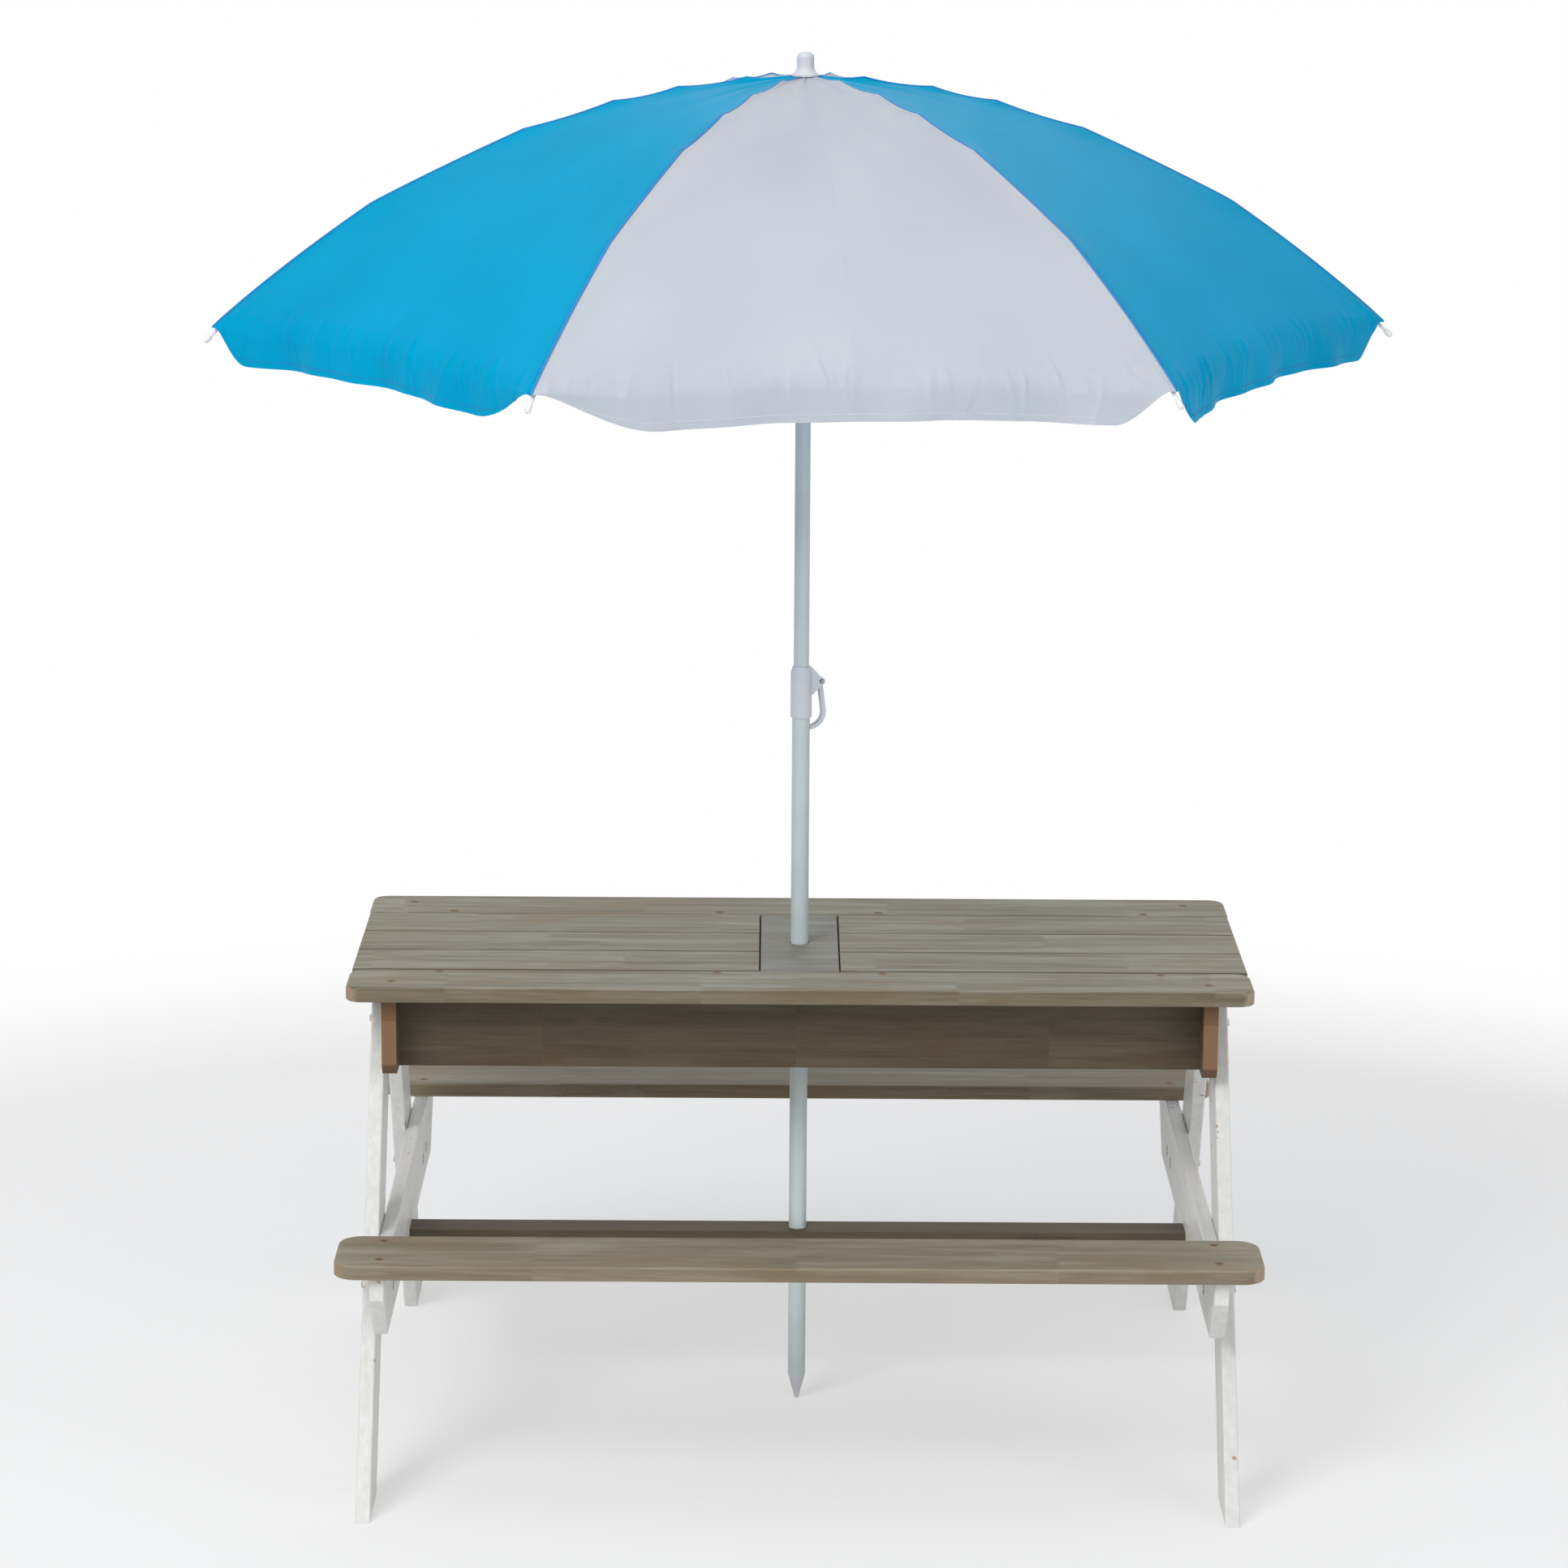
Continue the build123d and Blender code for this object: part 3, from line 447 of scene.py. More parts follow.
# %% [markdown]
# Each kind of board gets its own tones: the dark and the middle of the grain, its light, which is also the
# chalky patches' tone, and the brown of the spots. Two more are for its ends. Boards that stand alone have no
# joints, so their board width is set past their size. The cross beams are glued from layers too, 46 mm high,
# so their ends differ. The floor of the sandbox is thin plywood, and the same graph serves it.

# %% Wood: the boards
alone = {"board": 1.0, "board_from": 0.5}
stained_tones = ("#6d624d", "#8f8771", "#aaa393", "#8a785c")
panel_tones = ("#7b7567", "#8c877b", "#9d998f", "#817866")
bench_tones = ("#766b55", "#8e8470", "#a39b89", "#897960")
raw_tones = ("#463b2c", "#524837", "#5f5543", "#4f422d")
ply_tones = ("#a48d6a", "#b59f7c", "#c2ad8b", "#a98f68")
stained_ends = ("#8c7862", "#a08e78")
brown_ends = ("#503826", "#7f6046")
ply_ends = ("#7d6243", "#b79c76")
stained_x = wood(
    "grey_stained_pine_top_boards", 0, stained_tones, stained_ends, board_from=0.04115, marks=screw_marks
)
panel_x = wood("grey_stained_pine_centre_panel", 0, panel_tones, stained_ends, **alone)
# side=0.32 paints shade on the benches' upright faces.
bench_x = wood(
    "grey_stained_pine_benches", 0, bench_tones, stained_ends, side=0.32, marks=screw_marks, **alone
)
raw_x = wood("grey_stained_pine_long_boards", 0, raw_tones, brown_ends, **alone)
raw_y = wood("raw_pine_cross_beams", 1, raw_tones, brown_ends, layer=0.04607, **alone)
birch = wood("birch_plywood_sandbox_floor", 0, ply_tones, ply_ends, **alone)
print("boards ready:", stained_x.name, "and five more")

# %% [markdown]
# The legs and the bench beams are painted white, with a satin paint that fills the grain: only a faint
# relief along the board is left, with a few tiny chips where the wood shows. The bolts' round nuts, which
# sit flush in the bench beams, have a ring of raw wood round them, which the drill has left.

# %% Painted wood
nut_marks = ((0, 0.2045, 0.203), (0, 0.2525, 0.203))
nut_ring, nut_strength = (0.0066, 0.0076), 0.9
brush_size = (6.25, 111.1)
brush_noise = {"Scale": 1.0, "Detail": 3.0}
chip_size = 10.526
chip_noise = {"Scale": 1000 / chip_size, "Detail": 1.0}
chip_range = {"From Min": 0.735, "From Max": 0.77, "To Max": 0.8}


def painted(name, along, marks=()):
    """White satin paint on softwood. Along is the axis of the grain, and marks are the nuts' places."""
    material, tree, shader = finish(name, Roughness=0.42, Specular_IOR_Level=0.4)
    place = add(tree, "ShaderNodeTexCoord").outputs["Object"]
    brushed = stretched_noise(tree, place, along, brush_size, brush_noise)
    stops = ((0.3, "#d6d6d2"), (0.7, "#e3e3e0"))
    tone = add(tree, "ShaderNodeValToRGB", links={0: brushed}, stops=stops)
    specks = add(tree, "ShaderNodeTexNoise", values=chip_noise, links={"Vector": place})
    chips = add(tree, "ShaderNodeMapRange", values=chip_range, links={"Value": specks})
    colour = add(tree, "ShaderNodeMix", mix_colour, {mix_b: linear("#b08f70")}, {0: chips, mix_a: tone})
    if marks:
        bare = marked(tree, place, marks, (0, 1, 1), nut_ring, nut_strength)
        over = {0: bare, mix_a: colour.outputs[mixed]}
        colour = add(tree, "ShaderNodeMix", mix_colour, {mix_b: linear("#6f4526")}, over)
    cover(tree, shader, colour.outputs[mixed], brushed, strength=0.22, depth=0.0004)
    return material


paint_z = painted("white_satin_paint_legs", 2)
paint_y = painted("white_satin_paint_beams", 1, marks=nut_marks)
print("paint ready:", paint_z.name, "and", paint_y.name)

# %% [markdown]
# The tubes are powder coated: a smooth, slightly uneven skin that blurs reflections. The plastics are
# moulded, with a fine texture in the tool. The rivet is bright plated steel; its tone is set darker, as a
# painted reflection of dark surroundings. The screws are yellow zinc plated, which gives them their brown
# gold colour. All of these are one pattern in different tones: a fine noise for the skin's own texture, and
# a slow one that makes the tone a little cloudy.

# %% Metals and plastics
cloud_size = 55.56
skin_share = 0.35
plated = {"Roughness": 0.35, "Metallic": 1.0}


def coated(name, dark, light, texture, depth, **values):
    """A smooth surface with a fine, even unevenness: tone and relief follow a noise, texture mm wide."""
    material, tree, shader = finish(name, **values)
    place = {"Vector": add(tree, "ShaderNodeTexCoord").outputs["Object"]}
    skin = add(tree, "ShaderNodeTexNoise", values={"Scale": 1000.0 / texture, "Detail": 2.0}, links=place)
    cloudy = add(tree, "ShaderNodeTexNoise", values={"Scale": 1000 / cloud_size, "Detail": 2.0}, links=place)
    both = add(tree, "ShaderNodeMath", scale_and_add, {1: skin_share}, {0: skin, 2: cloudy})
    tone = add(tree, "ShaderNodeValToRGB", links={0: both}, stops=((0.45, dark), (0.9, light)))
    cover(tree, shader, tone.outputs[0], skin, strength=0.3, depth=depth)
    return material


grey_steel = coated("light_grey_powder_coated_tube", "#bfc9ca", "#c9d3d4", 1.6, 0.00006, Roughness=0.4)
white_steel = coated("pale_powder_coated_tube", "#dbe5e8", "#e2eaed", 1.6, 0.00006, Roughness=0.38)
grey_moulding = coated("pale_grey_moulded_plastic", "#c9ccd2", "#d2d4d9", 0.9, 0.00008, Roughness=0.45)
white_moulding = coated("white_moulded_plastic", "#dcdedf", "#e6e8e8", 0.9, 0.00008, Roughness=0.4)
# The rivet's dark tone is a painted reflection of dark surroundings, not the colour of bright steel.
rivet_steel_painted_dark = coated("plated_rivet_painted_dark_reflection", "#84898e", "#a2a7ac", 1.2, 0.00003, Roughness=0.16, Metallic=1.0)
yellow_zinc = coated("yellow_zinc_plated_steel", "#a8845a", "#c4a271", 0.8, 0.00005, **plated)
bare_zinc = coated("zinc_plated_steel", "#a8a59e", "#bdbab3", 0.8, 0.00005, **plated)
rib_finish = coated("pale_coated_rib_rods", "#b9bdc0", "#c5c9cc", 1.2, 0.00004, Roughness=0.35)
print("coatings and plastics ready")

# %% [markdown]
# The ribs are coated steel rods with a white plastic cap on the end. The cap is not a piece of its own in
# the CAD frame, so the colour changes at the radius where it starts. A second material on some of the
# faces would do it too, but the faces of a CAD node are left as they are.

# %% White caps on the ribs
cap_start = 0.600
tree = rib_finish.node_tree
shader = tree.nodes["Principled BSDF"]
place = add(tree, "ShaderNodeTexCoord")
flat = add(tree, "ShaderNodeVectorMath", multiply, {1: (1, 1, 0)}, {0: place.outputs["Object"]})
away = {0: add(tree, "ShaderNodeVectorMath", length_of, links={0: flat}).outputs["Value"]}
is_cap = add(tree, "ShaderNodeMath", {"operation": "GREATER_THAN"}, {1: cap_start}, away)
over = {0: is_cap, mix_a: shader.inputs["Base Color"].links[0].from_socket}
capped = add(tree, "ShaderNodeMix", mix_colour, {mix_b: linear("#e2e4e4")}, over)
tree.links.new(capped.outputs[mixed], shader.inputs["Base Color"])
print("rib caps start at", cap_start, "m")

# %% [markdown]
# Each CAD node keeps its shape and gets its finish here. The boards are told apart by the direction of
# their grain, and the rest by the slot that the record gives them.

# %% Finishes of the CAD nodes
by_slot = {
    "stained_wood": stained_x,
    "raw_wood": raw_x,
    "plywood": birch,
    "white_painted_wood": paint_z,
    "zinc_screws": bare_zinc,
    "grey_coated_steel": grey_steel,
    "white_coated_steel": white_steel,
    "grey_plastic": grey_moulding,
    "white_plastic": white_moulding,
    "bright_rivet": rivet_steel_painted_dark,
}
cross_boards = ("top_beam", "divider", "lid_battens")
by_node = {"front_bench": bench_x, "rear_bench": bench_x, "centre_panel": panel_x, "panel_cleats": raw_y}
for side in ("left", "right"):
    by_node.update({f"{side}_{board}": raw_y for board in cross_boards})
    by_node[f"{side}_bench_beam"] = paint_y
by_node.update({f"rib_{k}": rib_finish for k in rib_numbers})

for part in frame["record"]["subparts"]:
    chosen = by_node.get(part["node"], by_slot.get(part["material_slot"]))
    if chosen:
        give(frame["nodes"][part["node"]], chosen)
print(len(frame["nodes"]), "CAD nodes")

# %% [markdown]
# The canopy is six gores of thin coated polyester, blue and white in turn, sewn together along the ribs and
# tied to them at a few points, where the seam stands up a little. Between the ribs the cloth is stretched
# and sags slightly. At the rim it rolls over into a hanging valance with a wavy hem and rounded corners.
# The sewing puckers it there, and fine pleats start at the crown. A flat grid of points could be bent by a
# simulation, but the stretched shape follows a rule, so the points are worked out from it directly. Seen
# from the side, a rib is an arc: its chord runs from the top to the rim, and it rises a little above it.

# %% Canopy: the rule for its shape
canopy_top = 1.405           # height of the cloth at the pole
canopy_radius = 0.603        # from the pole to the rib tips
canopy_drop = 0.255          # from the top down to the rib tips
canopy_rise = 0.061          # of a rib above its chord
hole_radius = 0.011
cloth_sag = 0.005            # at the rim, halfway between two ribs
cloth_thickness = 0.0007
seam_room = 0.0003           # from a gore's edge to the middle of its seam
first_rib = 5.0              # degrees
half_gore = pi / 6
valance_drop = 0.040
valance_notch = 0.005        # hem on each side of a rib that hardly hangs
least_drop = 0.0015          # of the valance there
corner_power = 1.3
corner_reach = {k: 0.115 if k == 5 else 0.050 for k in rib_numbers}
hem_lean = {1: 0.06, 2: -0.05, 3: 0.04, 4: -0.08, 5: 0.24, 6: 0.05}
rim_arch = 0.020             # how far the rim is drawn in, halfway between two ribs
ties = (0.011, 0.060, 0.130, 0.195, 0.285, 0.440, 0.603)
tie_height = 0.0032
rib_band = 0.040             # width over which the cloth follows a raised seam

chord = hypot(canopy_radius, canopy_drop)
arc_radius = chord**2 / (8 * canopy_rise) + canopy_rise / 2
arc_sink = (arc_radius - canopy_rise) / chord
arc_r = canopy_radius / 2 - canopy_drop * arc_sink
arc_z = canopy_top - canopy_drop / 2 - canopy_radius * arc_sink
gore_width = 2 * canopy_radius * sin(half_gore)


def rib_angle(k):
    """Where rib k stands, round the pole."""
    return radians(first_rib + (k - 1) * 60)


def arc_height(r):
    """Height of the canopy along a rib."""
    return arc_z + np.sqrt(arc_radius**2 - (r - arc_r) ** 2)


def hem_drop(k, across):
    """How far the valance of gore k hangs: hardly at the ribs, and less towards one of them."""
    first = (across * gore_width - valance_notch) / corner_reach[k]
    second = ((1 - across) * gore_width - valance_notch) / corner_reach[k % 6 + 1]
    corner = np.sin(pi / 2 * np.clip(np.minimum(first, second), 0, 1)) ** corner_power
    full = valance_drop * (1 + hem_lean[k] * (0.5 - across))
    return least_drop + (full - least_drop) * corner


def tie_bumps(r):
    """How far the seam stands up: 1 at the ties, 0 halfway between two."""
    share = np.zeros_like(r)
    for low, high in zip(ties, ties[1:]):
        inside = (r >= low) & (r <= high)
        share[inside] = (2 * (r[inside] - low) / (high - low) - 1) ** 2
    return share


# %% [markdown]
# One function gives the whole gore as a grid of points, in rows from the crown to the hem: the stretched
# top, the rim that rolls over, and the valance. The rows lie closer together towards the rim.

# %% Canopy: one gore as a grid of points
top_rows, fold_rows, hang_rows = 64, 9, 16
across_steps = 288
outer_share, outer_power = 0.25, 2.5
fold_reach = 0.016
roll_depth = 0.013
roll_share = 0.7
arch_power = 0.8
crown_reach = 0.05


def gore_grid(k):
    """Points of gore k in its own plane, as rows by steps by xyz, with its middle along +X."""
    across = np.linspace(0, 1, across_steps + 1)[None, :]
    bulge = 4 * across * (1 - across)
    drop = hem_drop(k, across)
    sag = cloth_sag * bulge
    side = np.minimum(across, 1 - across) * gore_width
    by_seam = np.exp(-((side / rib_band) ** 2))
    # The stretched top, with its rows closer together towards the rim
    spread = np.linspace(0, 1, top_rows)[:, None]
    spread = (1 - outer_share) * spread + outer_share * (1 - (1 - spread) ** outer_power)
    rim_r = canopy_radius - rim_arch * bulge**arch_power
    r = hole_radius + (rim_r - fold_reach - hole_radius) * spread
    z = arc_height(r) - sag * r / canopy_radius
    z = z + tie_bumps(r) * tie_height * by_seam * np.clip(r / crown_reach, 0, 1)
    # The rim, which rolls over into the valance
    rim_z = arc_height(rim_r) - sag + tie_height * by_seam
    low_z = rim_z - np.minimum(roll_depth, roll_share * drop)
    t = np.linspace(0, 1, fold_rows + 2)[1:-1, None]
    fold_r = (1 - t) ** 2 * r[-1:] + 2 * t * (1 - t) * rim_r + t**2 * rim_r
    fold_z = (1 - t) ** 2 * z[-1:] + 2 * t * (1 - t) * rim_z + t**2 * low_z
    # The valance, which hangs straight down
    h = np.linspace(0, 1, hang_rows)[:, None]
    hang_r = rim_r + 0 * h
    hang_z = low_z + (rim_z - drop - low_z) * h
    r = np.vstack((r, fold_r, hang_r))
    z = np.vstack((z, fold_z, hang_z))
    room = seam_room * (1 - 2 * across)
    x = r * cos(half_gore) - room * sin(half_gore)
    y = r * sin(half_gore) * (2 * across - 1) + room * cos(half_gore)
    return np.stack((x, y, z), axis=-1), across


print("one gore:", gore_grid(1)[0].shape, "points")

# %% [markdown]
# Wrinkles are narrow ridges, with places, widths and heights drawn from a seeded table, so each gore
# differs and every run gives the same. The clearest two kinds are the puckers along the rim, where the
# sewing has drawn the cloth up, and the fans at the rib tips, where the cloth is tied. Each range below is
# the least and the most, in metres where it is a length.

# %% Canopy: puckers and fans
pucker_from, pucker_pitch, pucker_height = 0.012, 0.016, 0.0021
pucker_stray, pucker_width, pucker_share = (-0.010, 0.010), (0.0016, 0.0046), (-0.6, 1.0)
pucker_above, pucker_below, pucker_slope = (0.004, 0.026), (0.010, 0.045), (-0.45, 0.45)
fan_leans = (-0.95, -0.62, -0.35, -0.12, 0.16)
fan_stray, fan_share, fan_height = (-0.08, 0.08), (0.4, 1.0), 0.0014
fan_width, fan_reach, fan_start = 0.0035, 0.075, 0.012


def ridge(distance, width):
    """1 on a line, and fading to 0 on both its sides."""
    return np.exp(-((distance / width) ** 2))


def puckers(rng, s, from_rim):
    """Short ridges across the rim, which the sewing has drawn up."""
    height = np.zeros_like(s)
    for place in np.arange(pucker_from, gore_width, pucker_pitch):
        place = place + rng.uniform(*pucker_stray)
        width = rng.uniform(*pucker_width)
        tall = rng.uniform(*pucker_share) * pucker_height
        above = rng.uniform(*pucker_above)
        below = rng.uniform(*pucker_below)
        slope = rng.uniform(*pucker_slope)
        reach = np.where(from_rim < 0, ridge(from_rim, above), ridge(from_rim, below))
        height += tall * ridge(s - place - slope * from_rim, width) * reach
    return height


def fans(rng, s, from_rim):
    """Ridges that spread from the two rib tips."""
    height = np.zeros_like(s)
    for corner in (0.0, gore_width):
        reach = np.hypot(s - corner, from_rim)
        angle = np.arctan2(from_rim, np.abs(s - corner))
        for lean in fan_leans:
            lean = lean + rng.uniform(*fan_stray)
            tall = rng.uniform(*fan_share) * fan_height
            fan = ridge((angle - lean) * reach, fan_width) * ridge(reach, fan_reach)
            height += tall * fan * (1 - ridge(reach, fan_start))
    return height


print("puckers up to", pucker_height * 1000, "mm, fans up to", fan_height * 1000, "mm")

# %% [markdown]
# The other kinds are the waves of the hanging valance, two creases along the rim, the pleats at the crown,
# and long faint creases from folding. A wave or a pleat is given as its height and how often it comes in a
# gore. All are added up, and the sum moves each point along the surface's own normal. It fades to nothing
# at the ribs, so that two gores still meet there.

# %% Canopy: all the wrinkles
wrinkle_seed = 40
hem_waves = ((0.0045, 3, 1), (0.0020, 7, 2))
rim_creases = (-0.011, -0.027)
rim_crease_height, rim_crease_width = 0.0006, 0.0022
rim_crease_stray, rim_crease_turns = 0.003, 9
pleats = ((0.0011, 3), (0.0006, 5))
pleat_start, pleat_reach, pleat_room, pleat_power = 0.01, 0.17, 0.012, 1.5
creases = 7
crease_middle, crease_lean, crease_width = (0.15, 0.62), (-0.12, 0.12), (0.004, 0.010)
crease_start, crease_height, crease_reach = (0.1, 0.9), 0.00035, 0.12
calm_edge, calm_power = 0.006, 0.7


def wrinkles(k, points, across):
    """How far each point of a gore moves along its normal."""
    rng = np.random.default_rng(wrinkle_seed + k)
    down = np.gradient(points, axis=0)
    over = np.gradient(points, axis=1)
    normal = np.cross(over, down)
    normal /= np.linalg.norm(normal, axis=-1, keepdims=True) + 1e-12
    normal *= np.sign(normal[..., 0:1] + normal[..., 2:3] + 1e-9)
    along = np.cumsum(np.linalg.norm(np.diff(points, axis=0, prepend=points[:1]), axis=-1), axis=0)
    from_rim = along - along[top_rows + fold_rows // 2]
    s = across * gore_width + 0 * along
    side = np.minimum(s, gore_width - s)
    hung = np.clip(from_rim / valance_drop, 0, 1)
    phase = rng.uniform(0, 2 * pi)
    height = np.zeros_like(s)
    for tall, count, turns in hem_waves:
        height += tall * hung * np.sin(2 * pi * count * across + turns * phase)
    height += puckers(rng, s, from_rim) + fans(rng, s, from_rim)
    wavy = from_rim - rim_crease_stray * np.sin(rim_crease_turns * across + phase)
    for above in rim_creases:
        height += rim_crease_height * ridge(wavy - above, rim_crease_width)
    fading = np.clip(1 - (along - pleat_start) / pleat_reach, 0, 1) ** pleat_power
    crown = fading * np.clip(along / pleat_room, 0, 1)
    for tall, count in pleats:
        height += tall * crown * np.sin(2 * pi * count * across + rng.uniform(0, 2 * pi))
    for _ in range(creases):
        middle = rng.uniform(*crease_middle)
        lean = rng.uniform(*crease_lean)
        width = rng.uniform(*crease_width)
        start = rng.uniform(*crease_start) * gore_width
        crease = ridge(along - middle - lean * (s - start), width)
        height += crease_height * crease * ridge(s - start, crease_reach)
    height *= np.clip(side / calm_edge, 0, 1) ** calm_power
    return normal * height[..., None]


sample = wrinkles(1, *gore_grid(1))
print("wrinkles move the cloth by up to", round(float(np.abs(sample).max()) * 1000, 1), "mm")

# %% [markdown]
# The cloth is a plain weave with a coating on one side. The outside has a soft gloss, which shows the
# puckers, and the inside of the blue gores is whitish, because the coating is. The threads are 0.25 mm
# apart on the real cloth. Here they are drawn 0.9 mm apart, so that they show at all from near by.

# %% Cloth materials
thread = 0.0009
weave_share = 0.12
tone_size = 0.2
slow_noise = {"Scale": 1 / tone_size, "Detail": 3.0}


def cloth(name, dark, light, **values):
    """Coated plain weave: crossing threads as relief, and a tone that changes slowly."""
    material, tree, shader = finish(name, **values)
    place = {"Vector": add(tree, "ShaderNodeUVMap", {"uv_map": "cloth"}).outputs[0]}
    scale = {"Scale": wave_pitch / thread}
    across, down = [
        add(tree, "ShaderNodeTexWave", {"bands_direction": way}, scale, place).outputs["Fac"] for way in "XY"
    ]
    weave = add(tree, "ShaderNodeMath", multiply, links={0: across, 1: down})
    slow = add(tree, "ShaderNodeTexNoise", values=slow_noise, links=place)
    both = add(tree, "ShaderNodeMath", scale_and_add, {1: weave_share}, {0: weave, 2: slow})
    tone = add(tree, "ShaderNodeValToRGB", links={0: both}, stops=((0.35, dark), (0.75, light)))
    cover(tree, shader, tone.outputs[0], weave, strength=0.12, depth=0.0001)
    return material


blue_cloth = cloth("blue_coated_polyester", "#00bce4", "#00c4ec", Roughness=0.36, Specular_IOR_Level=0.04)
white_cloth = cloth("white_coated_polyester", "#dde1e8", "#e4e7ed", Roughness=0.4, Specular_IOR_Level=0.08)
inside_cloth = cloth("whitish_cloth_coating", "#c3cad3", "#cdd3db", Roughness=0.5)
blue_thread = cloth("blue_polyester_thread", "#0a78bd", "#0f86cb", Roughness=0.5)
white_thread = cloth("white_polyester_thread", "#d9dce0", "#e6e8ea", Roughness=0.5)
print("cloth ready, threads drawn", thread * 1000, "mm apart")

# %% [markdown]
# The cloth has a real thickness: the grid becomes a sheet of faces, and an inner layer is added to it and
# joined at the rims. The outer faces get the outside's finish and the rest the inside's. The UV map gives
# each point its place on the cloth in metres, so the weave follows the cloth and keeps its size.

# %% Canopy: from a grid to cloth
crease_angle = radians(50)


def turned(points, angle):
    """Points turned round the pole."""
    x, y, z = np.moveaxis(points, -1, 0)
    return np.stack((x * cos(angle) - y * sin(angle), x * sin(angle) + y * cos(angle), z), axis=-1)


def lengths(points):
    """Distance of each point from the first, along the line."""
    return np.concatenate(([0], np.cumsum(np.linalg.norm(np.diff(points, axis=0), axis=-1))))


def cloth_piece(name, grid, outside, inside):
    """A grid of points as cloth with a thickness, an outer and an inner finish, and a UV map in metres."""
    rows, steps = grid.shape[:2]
    bm = bmesh.new()
    verts = [[bm.verts.new(p) for p in row] for row in grid]
    uv = bm.loops.layers.uv.new("cloth")
    width = lengths(grid[-1])
    length = lengths(grid[:, 0])
    for i in range(rows - 1):
        for j in range(steps - 1):
            around = ((i, j), (i + 1, j), (i + 1, j + 1), (i, j + 1))
            face = bm.faces.new([verts[a][b] for a, b in around])
            for corner, (a, b) in zip(face.loops, around):
                corner[uv].uv = (width[b], length[a])
    flat = sum(face.calc_area() for face in bm.faces)
    made = bmesh.ops.solidify(bm, geom=list(bm.faces), thickness=cloth_thickness)
    for item in made["geom"]:
        if isinstance(item, bmesh.types.BMFace):
            item.material_index = 1
    for face in bm.faces:
        face.smooth = True
    bm.normal_update()
    for edge in bm.edges:
        if len(edge.link_faces) == 2 and edge.calc_face_angle() > crease_angle:
            edge.smooth = False
    obj = settled(name, bm)
    give(obj, outside, inside)
    return obj, flat


print("cloth", cloth_thickness * 1000, "mm thick")

# %% [markdown]
# When the parasol folds, each rib swings down with the cloth beside it. So each gore is cut in two pieces
# along its middle, where the two match exactly, and each half rides on the rib next to it.

# %% Canopy: twelve half gores
ribs_per_gore = {k: (k, k % 6 + 1) for k in rib_numbers}
half_steps = across_steps // 2
halves = {}
gore_grids = {}
for k in rib_numbers:
    points, across = gore_grid(k)
    grid = turned(points + wrinkles(k, points, across), rib_angle(k) + half_gore)
    gore_grids[k] = grid
    outside, inside = (blue_cloth, inside_cloth) if k % 2 == 0 else (white_cloth, white_cloth)
    for side, rib in zip("ab", ribs_per_gore[k]):
        part = grid[:, : half_steps + 1] if side == "a" else grid[:, half_steps:]
        obj, flat = cloth_piece(f"canopy_gore_{k}{side}", part, outside, inside)
        halves[k, side] = (obj, rib, flat)
print(len(halves), "half gores,", round(sum(h[2] for h in halves.values()), 3), "square metres of cloth")

# %% [markdown]
# Along each rib the two gores are joined in a narrow rolled seam, which shows as a thin blue line. A tube
# with an oval section along the seam is enough for it. A curve with a bevel would do it too, but a mesh
# swept in code keeps the seam exactly on the cloth.

# %% Rolled seams along the ribs
seam_half_width = 0.0013
seam_half_height = 0.0008
seam_lift = 0.0002           # of the seam's middle above the cloth
seam_sides = 8
seam_turns = [2 * pi * n / seam_sides for n in range(seam_sides)]


def swept(name, points, across):
    """A tube with an oval section along points. Across is the sideways direction of the oval."""
    bm = bmesh.new()
    rings = []
    for i, point in enumerate(points):
        run = (points[min(i + 1, len(points) - 1)] - points[max(i - 1, 0)]).normalized()
        rise = run.cross(across).normalized()
        oval = [across * cos(a) * seam_half_width + rise * sin(a) * seam_half_height for a in seam_turns]
        rings.append([bm.verts.new(point + offset) for offset in oval])
    for low, high in zip(rings, rings[1:]):
        for n in range(seam_sides):
            after = (n + 1) % seam_sides
            bm.faces.new((low[n], low[after], high[after], high[n])).smooth = True
    bm.faces.new(rings[0])
    bm.faces.new(rings[-1])
    bmesh.ops.recalc_face_normals(bm, faces=bm.faces)
    return settled(name, bm)


for k in rib_numbers:
    outward = Vector((cos(rib_angle(k)), sin(rib_angle(k)), 0.0))
    sideways = Vector((-sin(rib_angle(k)), cos(rib_angle(k)), 0.0))
    edge = gore_grids[k][: top_rows + fold_rows, 0]
    line = [outward * hypot(x, y) + Vector((0.0, 0.0, z + seam_lift)) for x, y, z in edge]
    seam = swept(f"canopy_seam_{k}", line, sideways)
    give(seam, blue_thread)
    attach(seam, f"rib_{k}")
print(len(rib_numbers), "seams of", len(edge), "rings")

# %% [markdown]
# Stitches repeat along a line, so Geometry Nodes place them: the line is divided by the stitch length, one
# small thread is set on each point, and turned to follow the line. The tree ends in real meshes, because an
# export drops instances. Its result is kept as a plain mesh, so nothing in the scene depends on the tree.

# %% Stitch tree
def node_tree(name, sizes):
    """A Geometry Nodes tree with a mesh input and output, and a named input for each size."""
    tree = bpy.data.node_groups.new(name, "GeometryNodeTree")
    tree.interface.new_socket("Geometry", in_out="INPUT", socket_type="NodeSocketGeometry")
    for label, value in sizes.items():
        tree.interface.new_socket(label, in_out="INPUT", socket_type="NodeSocketFloat").default_value = value
    tree.interface.new_socket("Geometry", in_out="OUTPUT", socket_type="NodeSocketGeometry")
    return tree, add(tree, "NodeGroupInput").outputs, add(tree, "NodeGroupOutput")


